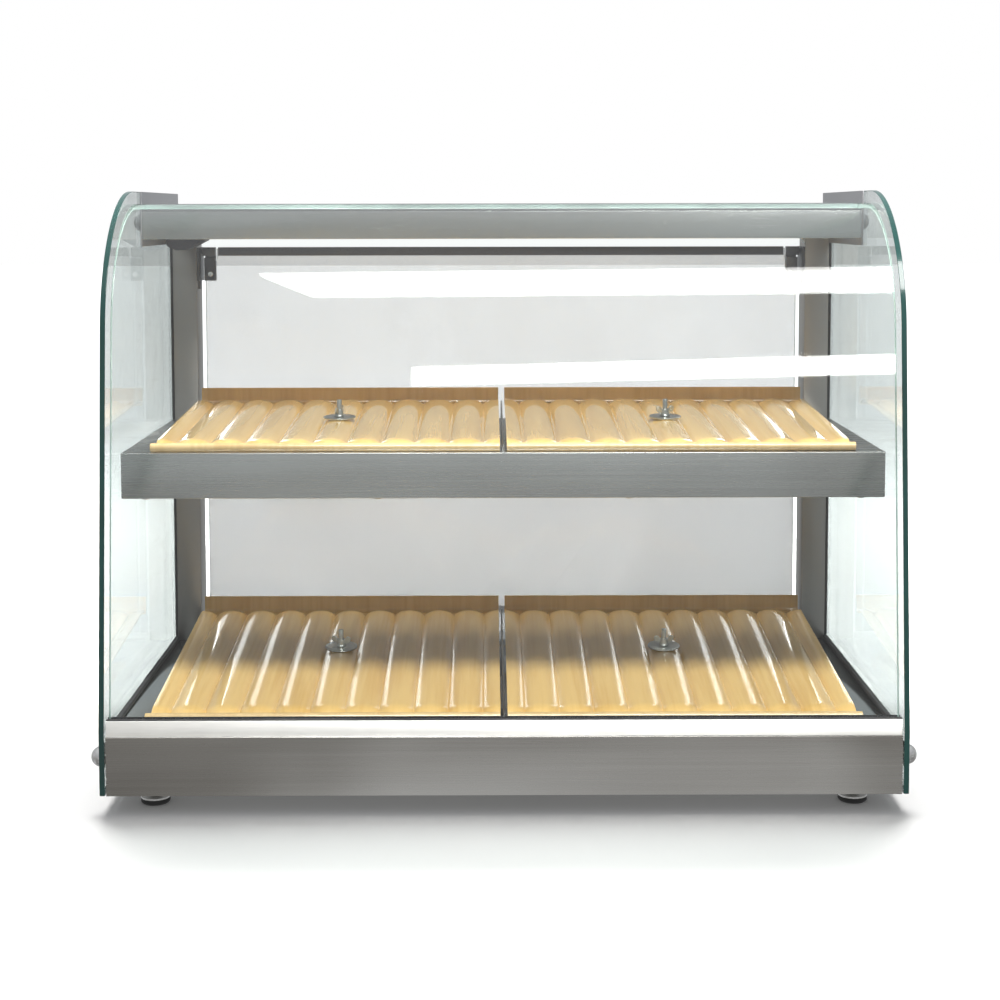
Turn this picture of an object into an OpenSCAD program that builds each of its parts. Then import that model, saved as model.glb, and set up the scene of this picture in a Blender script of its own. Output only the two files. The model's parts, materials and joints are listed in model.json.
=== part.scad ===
// Heated counter-top display case: curved front glass, two levels of sloping trays,
// a lamp box at the top and a lift-up glass door at the back.
// Millimetres. +Z is up, the curved glass faces -Y, the origin is at the bottom centre.

/* [Case] */
// Width over the two side glasses
case_w = 900; // [750:10:1100]
// Depth of the side glasses
case_d = 490; // [400:2:600]
// Height of the side glasses' top edge above the table
case_h = 694; // [576:2:840]
// Height of the base's underside above the table
foot_h = 22; // [18:1:40]
// Height of the base box
base_h = 66; // [60:1:90]
// How far the base and the posts stop short of the side glasses' back edge
back_step = 4; // [2:1:12]
// Thickness of the folded steel sheet
sheet_t = 1.5; // [1:0.1:2]
// Width of the folded flanges
flange_w = 14; // [10:1:24]

/* [Glass] */
// Thickness of the side and front glass
glass_t = 6; // [5:0.2:8]
// Gap between the side glass and the steel body, filled by spacers and seals
glass_gap = 1.5; // [1:0.1:3]
// Lean of the front edge back from upright, in degrees
front_lean = 5.5; // [4:0.1:7]
// Radius of the large front curve
front_r = 170; // [140:1:204]
// Height of the upright part of the front edge above the base's underside
kink_rise = 70; // [66:1:90]
// Distance of the front glass's outer face inside the side glass's edge
glass_inset = 8; // [6:0.2:12]
// Distance of the front glass's top face below the side glass's top edge
glass_drop = 15; // [8:0.5:20]
// Flat run of the front glass between its curve and the lamp box
glass_flat = 28; // [10:1:60]
// How far the front glass laps over the lamp box
glass_lap = 22; // [12:1:40]

/* [Front rail] */
// Set-back of the rail's outer wall behind the fascia
rail_step = 3; // [1:0.5:5]
// Height of the rail above the base
rail_h = 18; // [12:1:30]
// Thickness of the seal on each side of the front glass
seal_t = 3.2; // [2:0.1:5]

/* [Lamp box] */
// Height of the lamp box
housing_h = 34; // [30:1:60]
// Thickness of the seal between the lamp box and the front glass
top_seal_t = 3; // [2:0.5:6]
// Thickness of the end plates
plate_t = 2; // [1.5:0.1:3]
// How far the end plates hang below the lamp box
plate_drop = 9; // [4:1:20]
// Radius of the lamp tube
lamp_r = 8; // [6:0.5:12]

/* [Posts] */
// Width of a rear post
post_w = 32; // [24:1:50]
// Depth of a rear post
post_d = 44; // [36:1:60]
// Wall of a rear post
post_t = 2; // [1.5:0.1:3]

/* [Shelf] */
// Height of the shelf's underside above the table
shelf_low = 338; // [280:1:400]
// Height of the shelf box
shelf_h = 53; // [40:1:70]
// Distance of the shelf's front face behind the fascia
shelf_front = 105; // [90:1:160]

/* [Trays] */
// Width of a tray's floor
tray_w = 400; // [300:2:480]
// Gap between the two trays of a level
tray_gap = 8; // [6:1:20]
// Distance of the lower trays' front lip behind the fascia
lower_front = 60; // [40:1:120]
// Distance of the upper trays' front lip behind the shelf's front face
upper_set_back = 12; // [6:1:60]
// Slope of the lower trays, in degrees
lower_slope = 5.2; // [2:0.1:8]
// Slope of the upper trays, in degrees
upper_slope = 3; // [1:0.1:6]
// Thickness of a tray
tray_t = 2.5; // [2:0.1:4]
// Distance between two ridges of the tray floor
ridge_pitch = 40; // [25:1:50]
// Height of a ridge above the middle of the floor
ridge_a = 4.5; // [2:0.1:7]
// Radius of the rolled front lip
lip_r = 5.2; // [4:0.1:8]
// Reach of the lip past the floor's outer side
lip_over = 6; // [0:1:12]
// Height of the back wall above the floor
wall_rise = 18; // [10:1:30]

/* [Tray fixing] */
// Distance of the tray stud behind the fascia
stud_y = 275; // [180:1:320]
// Radius of the stud's thread
stud_r = 3; // [2.5:0.5:4]
// Radial clearance between the stud and the wing nut's thread
thread_fit = 0.05; // [0.01:0.01:0.1]
// Outer radius of the penny washer
penny_r = 20; // [12:1:25]
// Thickness of the penny washer
penny_t = 1.6; // [1:0.1:2.5]
// Height of the wing nut's hub
nut_h = 9; // [6:0.5:14]
// Height that the wing nut can climb while it is still on the stud
nut_travel = 6; // [3:0.5:12]
// Length of stud that stands above the raised wing nut
stud_spare = 6; // [2:0.5:15]

/* [Door] */
// Thickness of the door glass
pane_t = 5; // [4:0.2:6]
// Distance of the door glass behind the posts' front faces
pane_set = 24; // [16:1:32]
// Gap between the door glass and each post
pane_gap = 8; // [6:0.5:14]
// Gap between the door glass and the deck
pane_lift = 4; // [3:0.5:12]
// Height of the hinge axis below the lamp box
hinge_drop = 20; // [16:1:36]
// Radius of a hinge pin
pin_r = 3; // [2:0.5:4]
// Radial clearance of a hinge pin in its arm
pin_fit = 0.05; // [0.02:0.01:0.1]
// Length of the handle bar
handle_l = 120; // [80:2:200]

/* [Feet and fixings] */
// Radius of a foot
foot_r = 16.5; // [10:0.5:25]
// Distance of a foot's centre from the base's sides and front
foot_in = 46; // [30:1:80]
// Outer radius of the washer under a dome nut
cap_r = 15; // [10:0.5:16]
// Height of a dome nut
cap_h = 12; // [5:0.5:14]
// Radius of the bolts that hold the side glasses
bolt_r = 3; // [2:0.5:4]

/* [Controls] */
// Radius of the thermostat knob
knob_r = 18; // [14:0.5:24]
// Height of the thermostat knob
knob_h = 16; // [10:0.5:24]
// Distance of the knob's axis from the case's middle
knob_x = 300; // [250:1:340]
// Distance between two neighbouring controls
control_pitch = 56; // [50:1:80]
// Radius of the heating tube
heater_r = 4; // [3:0.5:6]

/* [Hidden] */
$fn = 64;

far = 2000;                                  // longer than any side, for cutting tools
move_gap = 0.3;                              // clearance between faces of different bodies
body_x = case_w / 2 - glass_t - glass_gap;   // half the width of the steel body
glass_x = case_w / 2 - glass_t;              // inner face of a side glass
base_back = case_d - back_step;
deck_z = foot_h + base_h;
kink_h = foot_h + kink_rise;

// Centre of the front curve, as [depth, height]
curve_c = [(case_h - kink_h) * tan(front_lean) + front_r * tan((90 - front_lean) / 2),
    case_h - front_r];
curve_steps = 60;
glass_ease = 0.5;                            // clearance from the front glass to an end plate
housing_front = curve_c.x + glass_flat;
// Centre of the front glass's curve, which keeps its own distances to the edge's front and top
sheet_c = curve_c - [(glass_drop - glass_inset) / cos(front_lean), 0];
housing_top = case_h - glass_drop - glass_t - top_seal_t;
housing_low = housing_top - housing_h;
housing_x = body_x - plate_t;
housing_mid_y = (housing_front + case_d) / 2;
front_glass_x = housing_x - glass_ease;      // half the width of the front glass
lamp_x = housing_x - 30;                     // outer end of a lamp holder
lamp_z = housing_low + 22;
holder_w = 14;
holder_d = 22;
lamp_slot = 3 * lamp_r;                      // half the depth of the lamp's window
cover_t = 3;
cover_lap = 6;

post_x = housing_x;                          // outer face of a post
post_in = post_x - post_w;                   // inner face of a post
post_front = base_back - post_d;
tray_back = post_front + 3;
shelf_top = shelf_low + shelf_h;

pane_y = post_front + pane_set;              // front face of the door glass
pane_x = post_in - pane_gap;
hinge_z = housing_low - hinge_drop;
hinge_y = pane_y + pane_t / 2;

// Hinge: arm and clamp on the glass, leaf on the post
arm_h = 11.5;
clamp_w = 15;
clamp_h = 31;
clamp_wall = 4.5;
clamp_slot = 2.5;
clamp_web = 4;
leaf_t = 3;
arm_out = post_in - leaf_t - 1.5;
arm_in = arm_out - clamp_w - 2;
arm_low = hinge_z - arm_h / 2;
clamp_low = arm_low - clamp_slot - clamp_h;
trim_h = 11.5;
trim_wall = 2;
pane_top = hinge_z + trim_h / 2 - trim_wall;
handle_z = deck_z + 30;
handle_r = 5;
handle_reach = 20;
handle_x = handle_l * 0.4;                   // distance of a handle's stem from the middle
stem_r = 4.5;
screw_r = 3;
set_screw_r = 2;
set_screw_x = arm_in + 6;
set_screw_z = clamp_low + 9;

// Controls on the back of the base
control_z = foot_h + base_h / 2;
dial_t = 1;
knob_lift = 1;
dial_r = 25;
case_back = base_back + dial_t + knob_lift + knob_h;
case_mid = case_back / 2;
rocker_w = 15;
rocker_h = 23;
rocker_tilt = 8;
bezel_t = 2;
bezel_lip = 3;
switch_deep = 20;
rocker_play = 0.6;
rocker_pin_r = 1.2;
rocker_pin_l = 1.2;                          // reach of a rocker's pin into the frame's wall
frame_wall = 2.5;
spindle_r = 3;
bush_r = 5;                                  // thread of the thermostat and of the pilot lamp
vent_w = 4;
vent_pitch = 18;
vents = 11;
pilot_x = -knob_x + 3 * control_pitch - 14;
inlet_w = 28;
inlet_h = 21;

// Heating: a bent tube in the base and one in the shelf, as [depth, height]
heater_bend = 70;
heater_end = body_x - 150;
base_heater = [(lower_front + post_front) / 2, foot_h + base_h / 2];
shelf_heater = [(shelf_front + post_front) / 2, shelf_low + shelf_h / 2];
clip_x = 200;
clip_w = 10;

// Foot: rubber pad, flat disc, cone and bolt, from the table up
pad_edge = 2;
pad_h = 6;
disc_t = 2.5;
cone_h = 4.5;
foot_bolt_r = 5;
foot_bolt_l = 8;                             // bolt above the base's floor

rivet_r = 4;
rivet_h = 1.8;
wing_x = 9.2;                                // distance of a wing's round end from the stud
wing_r = 3.4;

stud_x = (tray_gap + tray_w) / 2;
washer_low = ridge_a + tray_t / 2 + move_gap;
nut_low = washer_low + penny_t + move_gap;
stud_top = nut_low + nut_h + nut_travel + stud_spare;

// Fixings of a side glass, as [depth, height]
glass_fixings = [[24, foot_h + 38], [base_back - 26, foot_h + 38],
    [housing_front + 66, housing_low + 20], [case_d - 32, housing_low + 20]];

module at_case() translate([0, -case_mid, 0]) children();
module both_sides() { children(); mirror([1, 0, 0]) children(); }
module box(lo, hi) translate(lo) cube(hi - lo);
// Extrudes a shape drawn as [depth, height] from x0 to x1
module along_x(x0, x1) translate([x0, 0, 0]) rotate([90, 0, 90]) linear_extrude(x1 - x0) children();
// Extrudes a shape drawn as [x, height] from y0 to y1
module along_y(y0, y1) translate([0, y1, 0]) rotate([90, 0, 0]) linear_extrude(y1 - y0) children();
module rod_x(x0, x1, y, z, r) translate([x0, y, z]) rotate([0, 90, 0]) cylinder(h = x1 - x0, r = r);
module rod_y(y0, y1, x, z, r) translate([x, y1, z]) rotate([90, 0, 0]) cylinder(h = y1 - y0, r = r);
module rod_z(z0, z1, x, y, r) translate([x, y, z0]) cylinder(h = z1 - z0, r = r);

// ---- Base ----
module wall_ring(y0, y1, z0, z1, x, t) difference() {
    box([-x, y0, z0], [x, y1, z1]);
    box([-x + t, y0 + t, z0 - 1], [x - t, y1 - t, z1 + 1]);
}
module control_cuts() {
    for (x = [-knob_x, pilot_x]) rod_y(base_back - 5, base_back + 5, x, control_z, bush_r);
    for (i = [1, 2])
        translate([-knob_x + i * control_pitch, base_back, control_z])
            cube([rocker_w + 2 * frame_wall, 10, rocker_h + 2 * frame_wall], center = true);
    translate([knob_x, base_back, control_z]) cube([inlet_w, 10, inlet_h], center = true);
    for (i = [0:vents])
        box([i * vent_pitch, base_back - 5, control_z - 18],
            [i * vent_pitch + vent_w, base_back + 5, control_z + 18]);
}
module base_shell() at_case() color("silver") difference() {
    union() {
        wall_ring(0, base_back, foot_h, deck_z, body_x, sheet_t);
        for (z = [foot_h + sheet_t, deck_z - 2 * sheet_t])
            wall_ring(0, base_back, z, z + sheet_t, body_x, flange_w);
    }
    control_cuts();
    both_sides() for (p = [glass_fixings[0], glass_fixings[1]])
        rod_x(body_x - 5, body_x + 5, p.x, p.y, bolt_r);
}
module foot_places() for (x = [-1, 1], y = [foot_in, base_back - foot_in])
    translate([x * (body_x - foot_in), y, 0]) children();
module base_floor() at_case() color("gray") difference() {
    box([-body_x + sheet_t, sheet_t, foot_h],
        [body_x - sheet_t, base_back - sheet_t, foot_h + sheet_t]);
    foot_places() cylinder(h = far, r = foot_bolt_r, center = true);
    for (i = [-8:8])
        box([i * 30 - 3, base_back / 2 - 40, foot_h - 1], [i * 30 + 3, base_back / 2 + 40, foot_h + 5]);
}
module foot_pads() at_case() color("black") foot_places() {
    cylinder(h = pad_edge, r1 = foot_r - pad_edge, r2 = foot_r);
    translate([0, 0, pad_edge]) cylinder(h = pad_h - pad_edge, r = foot_r);
}
module foot_discs() at_case() color("lightgray") foot_places() {
    cone_z = pad_h + disc_t;
    bolt_z = cone_z + cone_h;
    translate([0, 0, pad_h]) cylinder(h = disc_t, r = foot_r);
    translate([0, 0, cone_z]) cylinder(h = cone_h, r1 = foot_r - 1, r2 = foot_r / 2);
    translate([0, 0, bolt_z]) cylinder(h = foot_h + sheet_t + foot_bolt_l - bolt_z, r = foot_bolt_r);
}
module stud_axis(side, level) {
    slope = level == 0 ? lower_slope : upper_slope;
    translate([side * stud_x, stud_y, tray_floor_z(level, stud_y)]) rotate([slope, 0, 0]) children();
}
module deck_plate() at_case() color("silver") difference() {
    box([-body_x + sheet_t, sheet_t, deck_z - sheet_t],
        [body_x - sheet_t, base_back - sheet_t, deck_z]);
    for (side = [-1, 1], i = [-4:4], y = [lower_front + 50, post_front - 90])
        box([side * stud_x + i * 36 - 3, y, deck_z - 5],
            [side * stud_x + i * 36 + 3, y + 50, deck_z + 1]);
}
module front_rail() at_case() color("whitesmoke") difference() {
    box([-body_x, rail_step, deck_z], [body_x, rail_back(), deck_z + rail_h]);
    box([-far, rail_step + sheet_t, deck_z + sheet_t], [far, rail_back() - sheet_t, far]);
}
function rail_back() = rail_step + 2 * sheet_t + 2 * seal_t + glass_t;
module front_seals() at_case() color("black") {
    difference() {
        along_x(-body_x, body_x)
            translate([rail_step + sheet_t, deck_z + sheet_t])
                square([rail_back() - rail_step - 2 * sheet_t, rail_h + 1 - sheet_t]);
        along_x(-far, far) front_glass_section();
    }
    box([-housing_x, housing_front, housing_top],
        [housing_x, housing_front + glass_lap, housing_top + top_seal_t]);
}
module side_seals() at_case() color("black") both_sides() {
    box([body_x - 4, rail_back(), deck_z], [glass_x, post_front, deck_z + 5]);
    box([post_x, post_front, deck_z], [glass_x, post_front + 10, housing_low - plate_drop]);
}

// ---- Frame ----
module rear_posts() at_case() color("gray") both_sides() difference() {
    box([post_in, post_front, deck_z], [post_x, base_back, housing_low]);
    box([post_in + post_t, post_front + post_t, deck_z - 1],
        [post_x - post_t, base_back - post_t, housing_low + 1]);
}
module post_brackets() at_case() color("white") both_sides()
    along_y(post_front + 2, post_front + 5)
        polygon([[post_in, housing_low - 12], [post_in, housing_low], [post_in - 10, housing_low]]);
module shelf_body() at_case() color("silver") {
    wall_ring(shelf_front, post_front, shelf_low, shelf_top, body_x, sheet_t);
    box([-body_x, shelf_front, shelf_top - sheet_t], [body_x, post_front, shelf_top]);
    wall_ring(shelf_front, post_front, shelf_low + sheet_t, shelf_low + 2 * sheet_t, body_x, flange_w);
}
module shelf_bottom() at_case() color("silver")
    box([-body_x + sheet_t, shelf_front + sheet_t, shelf_low],
        [body_x - sheet_t, post_front - sheet_t, shelf_low + sheet_t]);
module lamp_housing() at_case() color("silver") {
    box([-housing_x, housing_front, housing_low], [housing_x, housing_front + sheet_t, housing_top]);
    box([-housing_x, case_d - sheet_t, housing_low], [housing_x, case_d, housing_top]);
    box([-housing_x, housing_front, housing_top - sheet_t], [housing_x, case_d, housing_top]);
}
module housing_bottom() at_case() color("silver") difference() {
    box([-housing_x, housing_front + sheet_t, housing_low],
        [housing_x, case_d - sheet_t, housing_low + sheet_t]);
    box([-lamp_x, housing_mid_y - lamp_slot, housing_low - 1],
        [lamp_x, housing_mid_y + lamp_slot, housing_low + 5]);
}
module end_plates() at_case() color("lightgray") both_sides() difference() {
    box([housing_x, housing_front, housing_low - plate_drop], [body_x, case_d, case_h]);
    for (p = [glass_fixings[2], glass_fixings[3]]) rod_x(body_x - 5, body_x + 5, p.x, p.y, bolt_r);
}
module lamp_tube() at_case() color("white")
    rod_x(-lamp_x + holder_w, lamp_x - holder_w, housing_mid_y, lamp_z, lamp_r);
module lamp_holders() at_case() color("white") both_sides()
    box([lamp_x - holder_w, housing_mid_y - holder_d / 2, housing_low + 8],
        [lamp_x, housing_mid_y + holder_d / 2, housing_top - sheet_t]);
module lamp_cover() at_case() color("aliceblue")
    box([-lamp_x - cover_lap, housing_mid_y - lamp_slot - cover_lap, housing_low + sheet_t],
        [lamp_x + cover_lap, housing_mid_y + lamp_slot + cover_lap, housing_low + sheet_t + cover_t]);
// Guides the lamp's wires from the left post into the lamp box
module cable_cover() at_case() color("midnightblue") {
    out = -housing_x;
    along_y(post_front - 42, post_front)
        polygon([[out, housing_low], [out, housing_low - 11], [out + 12, housing_low - 17],
            [out + 27, housing_low - 16], [out + 50, housing_low - 4], [out + 50, housing_low]]);
}

// ---- Glass ----
// Points along a front curve, from the lean up to the level top, as [depth, height]
function curve(centre, radius) = [for (i = [0:curve_steps])
    let (a = front_lean + (90 - front_lean) * i / curve_steps)
        centre + radius * [-cos(a), sin(a)]];
// Point where the line that leans on to a curve crosses a height
function lean_foot(points, low) = [points[0].x - (points[0].y - low) * tan(front_lean), low];
module front_glass_section() {
    low = deck_z + sheet_t + 1;
    end = housing_front + glass_lap;
    outer = curve(sheet_c, front_r - glass_drop);
    inner = curve(sheet_c, front_r - glass_drop - glass_t);
    polygon(concat([lean_foot(outer, low)], outer,
        [[end, case_h - glass_drop], [end, case_h - glass_drop - glass_t]],
        [for (i = [curve_steps:-1:0]) inner[i]], [lean_foot(inner, low)]));
}
module side_glass(side) difference() {
    along_x(side > 0 ? glass_x : -case_w / 2, side > 0 ? case_w / 2 : -glass_x)
        polygon(concat([[0, foot_h], [0, kink_h]], curve(curve_c, front_r),
            [[case_d, case_h], [case_d, foot_h]]));
    for (p = glass_fixings) rod_x(-far, far, p.x, p.y, bolt_r);
}
module side_glass_left() at_case() color("darkseagreen") side_glass(-1);
module side_glass_right() at_case() color("darkseagreen") side_glass(1);
module front_glass() at_case() color("honeydew")
    along_x(-front_glass_x, front_glass_x) front_glass_section();
module at_fixings() for (p = glass_fixings) translate([0, p.x, p.y]) rotate([0, 90, 0]) children();
module cap_nuts() at_case() color("lightgray") both_sides() at_fixings() {
    foot = cap_r - 3.5;
    ball = (foot * foot + cap_h * cap_h) / (2 * cap_h);
    difference() {
        intersection() {
            translate([0, 0, case_w / 2 + 1.5 + cap_h - ball]) sphere(ball);
            translate([0, 0, case_w / 2 + 1.5]) cylinder(h = cap_h, r = cap_r);
        }
        translate([0, 0, case_w / 2]) cylinder(h = 1.5 + cap_h - 3, r = bolt_r);
    }
}
module cap_washers() at_case() color("silver") both_sides() at_fixings() difference() {
    translate([0, 0, case_w / 2]) cylinder(h = 1.5, r = cap_r);
    cylinder(h = far, r = bolt_r);
}
module glass_bolts() at_case() color("gray") both_sides() at_fixings() {
    translate([0, 0, body_x - plate_t - 4]) cylinder(h = 4, r = 5);
    translate([0, 0, body_x - plate_t])
        cylinder(h = case_w / 2 + 1.5 + cap_h - 3 - body_x + plate_t, r = bolt_r);
}
module glass_spacers() at_case() color("white") both_sides() at_fixings() difference() {
    translate([0, 0, body_x]) cylinder(h = glass_gap, r = cap_r - 3);
    cylinder(h = far, r = bolt_r);
}

// ---- Heating and electrics ----
module heating_tube(y, z) {
    for (s = [-1, 1]) rod_x(-heater_end, heater_end, y + s * heater_bend, z, heater_r);
    translate([heater_end, y, z]) intersection() {
        rotate_extrude() translate([heater_bend, 0]) circle(heater_r);
        box([0, -far, -far], [far, far, far]);
    }
}
module heating_elements() at_case() color("dimgray")
    for (h = [base_heater, shelf_heater]) heating_tube(h.x, h.y);
// Clips that stand on a plate at height low and hold the two runs of a tube
module clips(heater, low) for (x = [-clip_x, clip_x], s = [-1, 1]) difference() {
    translate([x, heater.x + s * heater_bend, (heater.y + low + heater_r + 2) / 2])
        cube([clip_w, 2 * heater_r + 4, heater.y - low + heater_r + 2], center = true);
    rod_x(-far, far, heater.x + s * heater_bend, heater.y, heater_r);
}
module heater_clips() at_case() color("silver") {
    clips(base_heater, foot_h + sheet_t);
    clips(shelf_heater, shelf_low + sheet_t);
}
// The phial lies along the deck's underside, at the end of its capillary
module thermostat_body() at_case() color("lightgray") difference() {
    union() {
        box([-knob_x - 18, base_back - sheet_t - 30, control_z - 18],
            [-knob_x + 18, base_back - sheet_t, control_z + 18]);
        rod_y(base_back - sheet_t, base_back + dial_t, -knob_x, control_z, bush_r);
        rod_y(base_back - 90, base_back - sheet_t - 30, -knob_x - 10, control_z + 10, 1.2);
        rod_y(base_back - 170, base_back - 90, -knob_x - 10, control_z + 10, 3);
    }
    rod_y(base_back - 20, base_back + 5, -knob_x, control_z, spindle_r + pin_fit);
}
module dial_plate() at_case() color("black") difference() {
    rod_y(base_back, base_back + dial_t, -knob_x, control_z, dial_r);
    rod_y(base_back - 5, base_back + 5, -knob_x, control_z, bush_r);
}
module thermostat_spindle() at_case() color("silver")
    rod_y(base_back - 18, case_back - 5, -knob_x, control_z, spindle_r);
module thermostat_knob() at_case() color("black") difference() {
    knob_low = base_back + dial_t + knob_lift;
    union() {
        rod_y(knob_low, knob_low + 5, -knob_x, control_z, knob_r);
        rod_y(knob_low + 5, case_back, -knob_x, control_z, knob_r - 3);
        box([-knob_x - 3, knob_low, control_z - knob_r + 1],
            [-knob_x + 3, case_back, control_z + knob_r - 1]);
    }
    rod_y(base_back, case_back - 5, -knob_x, control_z, spindle_r);
}
module at_switch(i) translate([-knob_x + i * control_pitch, base_back, control_z]) children();
module switch_frames() at_case() color("black") for (i = [1, 2]) at_switch(i) difference() {
    half_w = rocker_w / 2 + frame_wall;
    half_h = rocker_h / 2 + frame_wall;
    union() {
        box([-half_w - bezel_lip, 0, -half_h - bezel_lip], [half_w + bezel_lip, bezel_t, half_h + bezel_lip]);
        box([-half_w, -switch_deep, -half_h], [half_w, 0, half_h]);
    }
    box([-rocker_w / 2 - rocker_play, -9, -rocker_h / 2 - 1],
        [rocker_w / 2 + rocker_play, 5, rocker_h / 2 + 1]);
    rod_x(-half_w, half_w, 0, 0, rocker_pin_r + pin_fit);
}
module rocker(i) at_case() at_switch(i) rotate([rocker_tilt, 0, 0]) {
    pin_x = rocker_w / 2 + rocker_play + rocker_pin_l;
    along_x(-rocker_w / 2, rocker_w / 2)
        polygon([[-5, -rocker_h / 2 + 3], [3.6, -rocker_h / 2 + 0.4], [1.8, 0],
            [3.6, rocker_h / 2 - 0.4], [-5, rocker_h / 2 - 3]]);
    rod_x(-pin_x, pin_x, 0, 0, rocker_pin_r);
}
module power_rocker() color("darkgreen") rocker(1);
module light_rocker() color("black") rocker(2);
module pilot_lamp() at_case() color("orange") {
    rod_y(base_back - 18, base_back, pilot_x, control_z, bush_r);
    rod_y(base_back, base_back + 3, pilot_x, control_z, bush_r + 2);
}
// Three-pin mains socket; its pins stand in the cavity
module mains_inlet() at_case() color("black") translate([knob_x, base_back, control_z]) {
    difference() {
        union() {
            box([-25, 0, -12], [25, 2.5, 12]);
            box([-inlet_w / 2, -26, -inlet_h / 2], [inlet_w / 2, 0, inlet_h / 2]);
        }
        box([-12, -16, -8], [12, 5, 8]);
    }
    for (p = [[-7, -2], [0, 2], [7, -2]]) box([p.x - 1, -16, p.y - 2], [p.x + 1, -3, p.y + 2]);
}
module terminal_block() at_case() color("ivory") difference() {
    box([knob_x - 150, base_back - 70, foot_h + sheet_t],
        [knob_x - 90, base_back - 50, foot_h + sheet_t + 16]);
    for (i = [0:5]) rod_z(foot_h + sheet_t + 8, far, knob_x - 145 + i * 10, base_back - 60, 2.5);
}

// ---- Trays ----
function tray_seat(level) = level == 0 ? deck_z : shelf_top;
function tray_front(level) = level == 0 ? lower_front : shelf_front + upper_set_back;
function tray_slope(level) = level == 0 ? lower_slope : upper_slope;
// Height of the floor's middle surface at a depth
function tray_floor_z(level, y) = tray_seat(level) + ridge_a + tray_t / 2 + 0.8
    + (y - tray_front(level)) * tan(tray_slope(level));
function ridge(x) = ridge_a * cos(360 * x / ridge_pitch);
module ridge_section() {
    steps = 8 * round(tray_w / ridge_pitch);
    xs = [for (i = [0:steps]) -tray_w / 2 + tray_w * i / steps];
    polygon(concat([for (x = xs) [x, ridge(x) + tray_t / 2]],
        [for (i = [steps:-1:0]) [xs[i], ridge(xs[i]) - tray_t / 2]]));
}
module tray(side, level) at_case() color("burlywood") difference() {
    union() {
        translate([side * stud_x, tray_front(level), tray_floor_z(level, tray_front(level))])
            rotate([tray_slope(level), 0, 0])
                along_y(0, (tray_back - tray_t / 2 - tray_front(level)) / cos(tray_slope(level)))
                    ridge_section();
        inner = side * tray_gap / 2;
        outer = side * (tray_gap / 2 + tray_w + lip_over);
        rod_x(min(inner, outer), max(inner, outer), tray_front(level), tray_seat(level) + lip_r, lip_r);
        box([side * stud_x - tray_w / 2, tray_back - tray_t, tray_seat(level)],
            [side * stud_x + tray_w / 2, tray_back, tray_floor_z(level, tray_back) + wall_rise]);
    }
    stud_axis(side, level) cylinder(h = 40, r = stud_r + 0.6, center = true);
}
module tray_lower_left() tray(-1, 0);
module tray_lower_right() tray(1, 0);
module tray_upper_left() tray(-1, 1);
module tray_upper_right() tray(1, 1);
// Studs welded to the deck and to the shelf, square to the trays
module tray_studs() at_case() color("gray") for (level = [0, 1], side = [-1, 1]) intersection() {
    stud_axis(side, level) translate([0, 0, -60]) cylinder(h = stud_top + 60, r = stud_r);
    box([-far, -far, tray_seat(level)], [far, far, far]);
}
module penny_washer(side, level) at_case() color("darkgray") stud_axis(side, level)
    translate([0, 0, washer_low]) difference() {
        cylinder(h = penny_t, r = penny_r);
        translate([0, 0, -1]) cylinder(h = penny_t + 2, r = stud_r + 0.3);
    }
module washer_lower_left() penny_washer(-1, 0);
module washer_lower_right() penny_washer(1, 0);
module washer_upper_left() penny_washer(-1, 1);
module washer_upper_right() penny_washer(1, 1);
module wing_nut(side, level, turn) at_case() color("darkgray") stud_axis(side, level)
    translate([0, 0, nut_low]) rotate([0, 0, turn]) difference() {
        union() {
            cylinder(h = nut_h, r1 = 6, r2 = 4.6);
            for (a = [0, 180]) rotate([0, 0, a]) along_y(-1.2, 1.2) {
                translate([wing_x, nut_h]) circle(wing_r);
                polygon([[0, 1], [5, 1], [wing_x + wing_r, nut_h], [wing_x - wing_r, nut_h],
                    [0, nut_h - 3]]);
            }
        }
        translate([0, 0, -1]) cylinder(h = nut_h + 8, r = stud_r + thread_fit);
    }
module wing_nut_lower_left() wing_nut(-1, 0, -8);
module wing_nut_lower_right() wing_nut(1, 0, 12);
module wing_nut_upper_left() wing_nut(-1, 1, 78);
module wing_nut_upper_right() wing_nut(1, 1, 20);
// Strip in the gap between the two trays of a level
module tray_dividers() at_case() color("gray") for (level = [0, 1]) along_x(-1, 1)
    polygon([[tray_front(level) + 8, tray_seat(level)], [tray_back - 4, tray_seat(level)],
        [tray_back - 4, tray_floor_z(level, tray_back)],
        [tray_front(level) + 8, tray_floor_z(level, tray_front(level))]]);

// ---- Door ----
module hinge_leaves() at_case() color("dimgray") both_sides() {
    box([post_in - leaf_t, post_front + 1, clamp_low], [post_in, base_back - 1, hinge_z + arm_h / 2]);
    box([post_in - leaf_t, post_front + 13, clamp_low - 11], [post_in, post_front + 24, clamp_low]);
    rod_x(arm_in + 4, post_in - leaf_t, hinge_y, hinge_z, pin_r);
}
module hinge_clamps() at_case() color("dimgray") both_sides() difference() {
    union() {
        box([arm_in, hinge_y - arm_h / 2, arm_low], [arm_out, hinge_y + arm_h / 2, arm_low + arm_h]);
        box([arm_in, pane_y - clamp_wall, clamp_low],
            [pane_x + 1, pane_y + pane_t + clamp_wall, clamp_low + clamp_h]);
        box([arm_in, pane_y + pane_t, clamp_low],
            [pane_x + 1, pane_y + pane_t + clamp_wall, arm_low + 1]);
    }
    rod_x(arm_in + 4, far, hinge_y, hinge_z, pin_r + pin_fit);
    box([-far, pane_y, clamp_low - 1], [far, pane_y + pane_t, clamp_low + clamp_h - clamp_web]);
    rod_y(pane_y - far, pane_y, set_screw_x, set_screw_z, set_screw_r);
}
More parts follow.
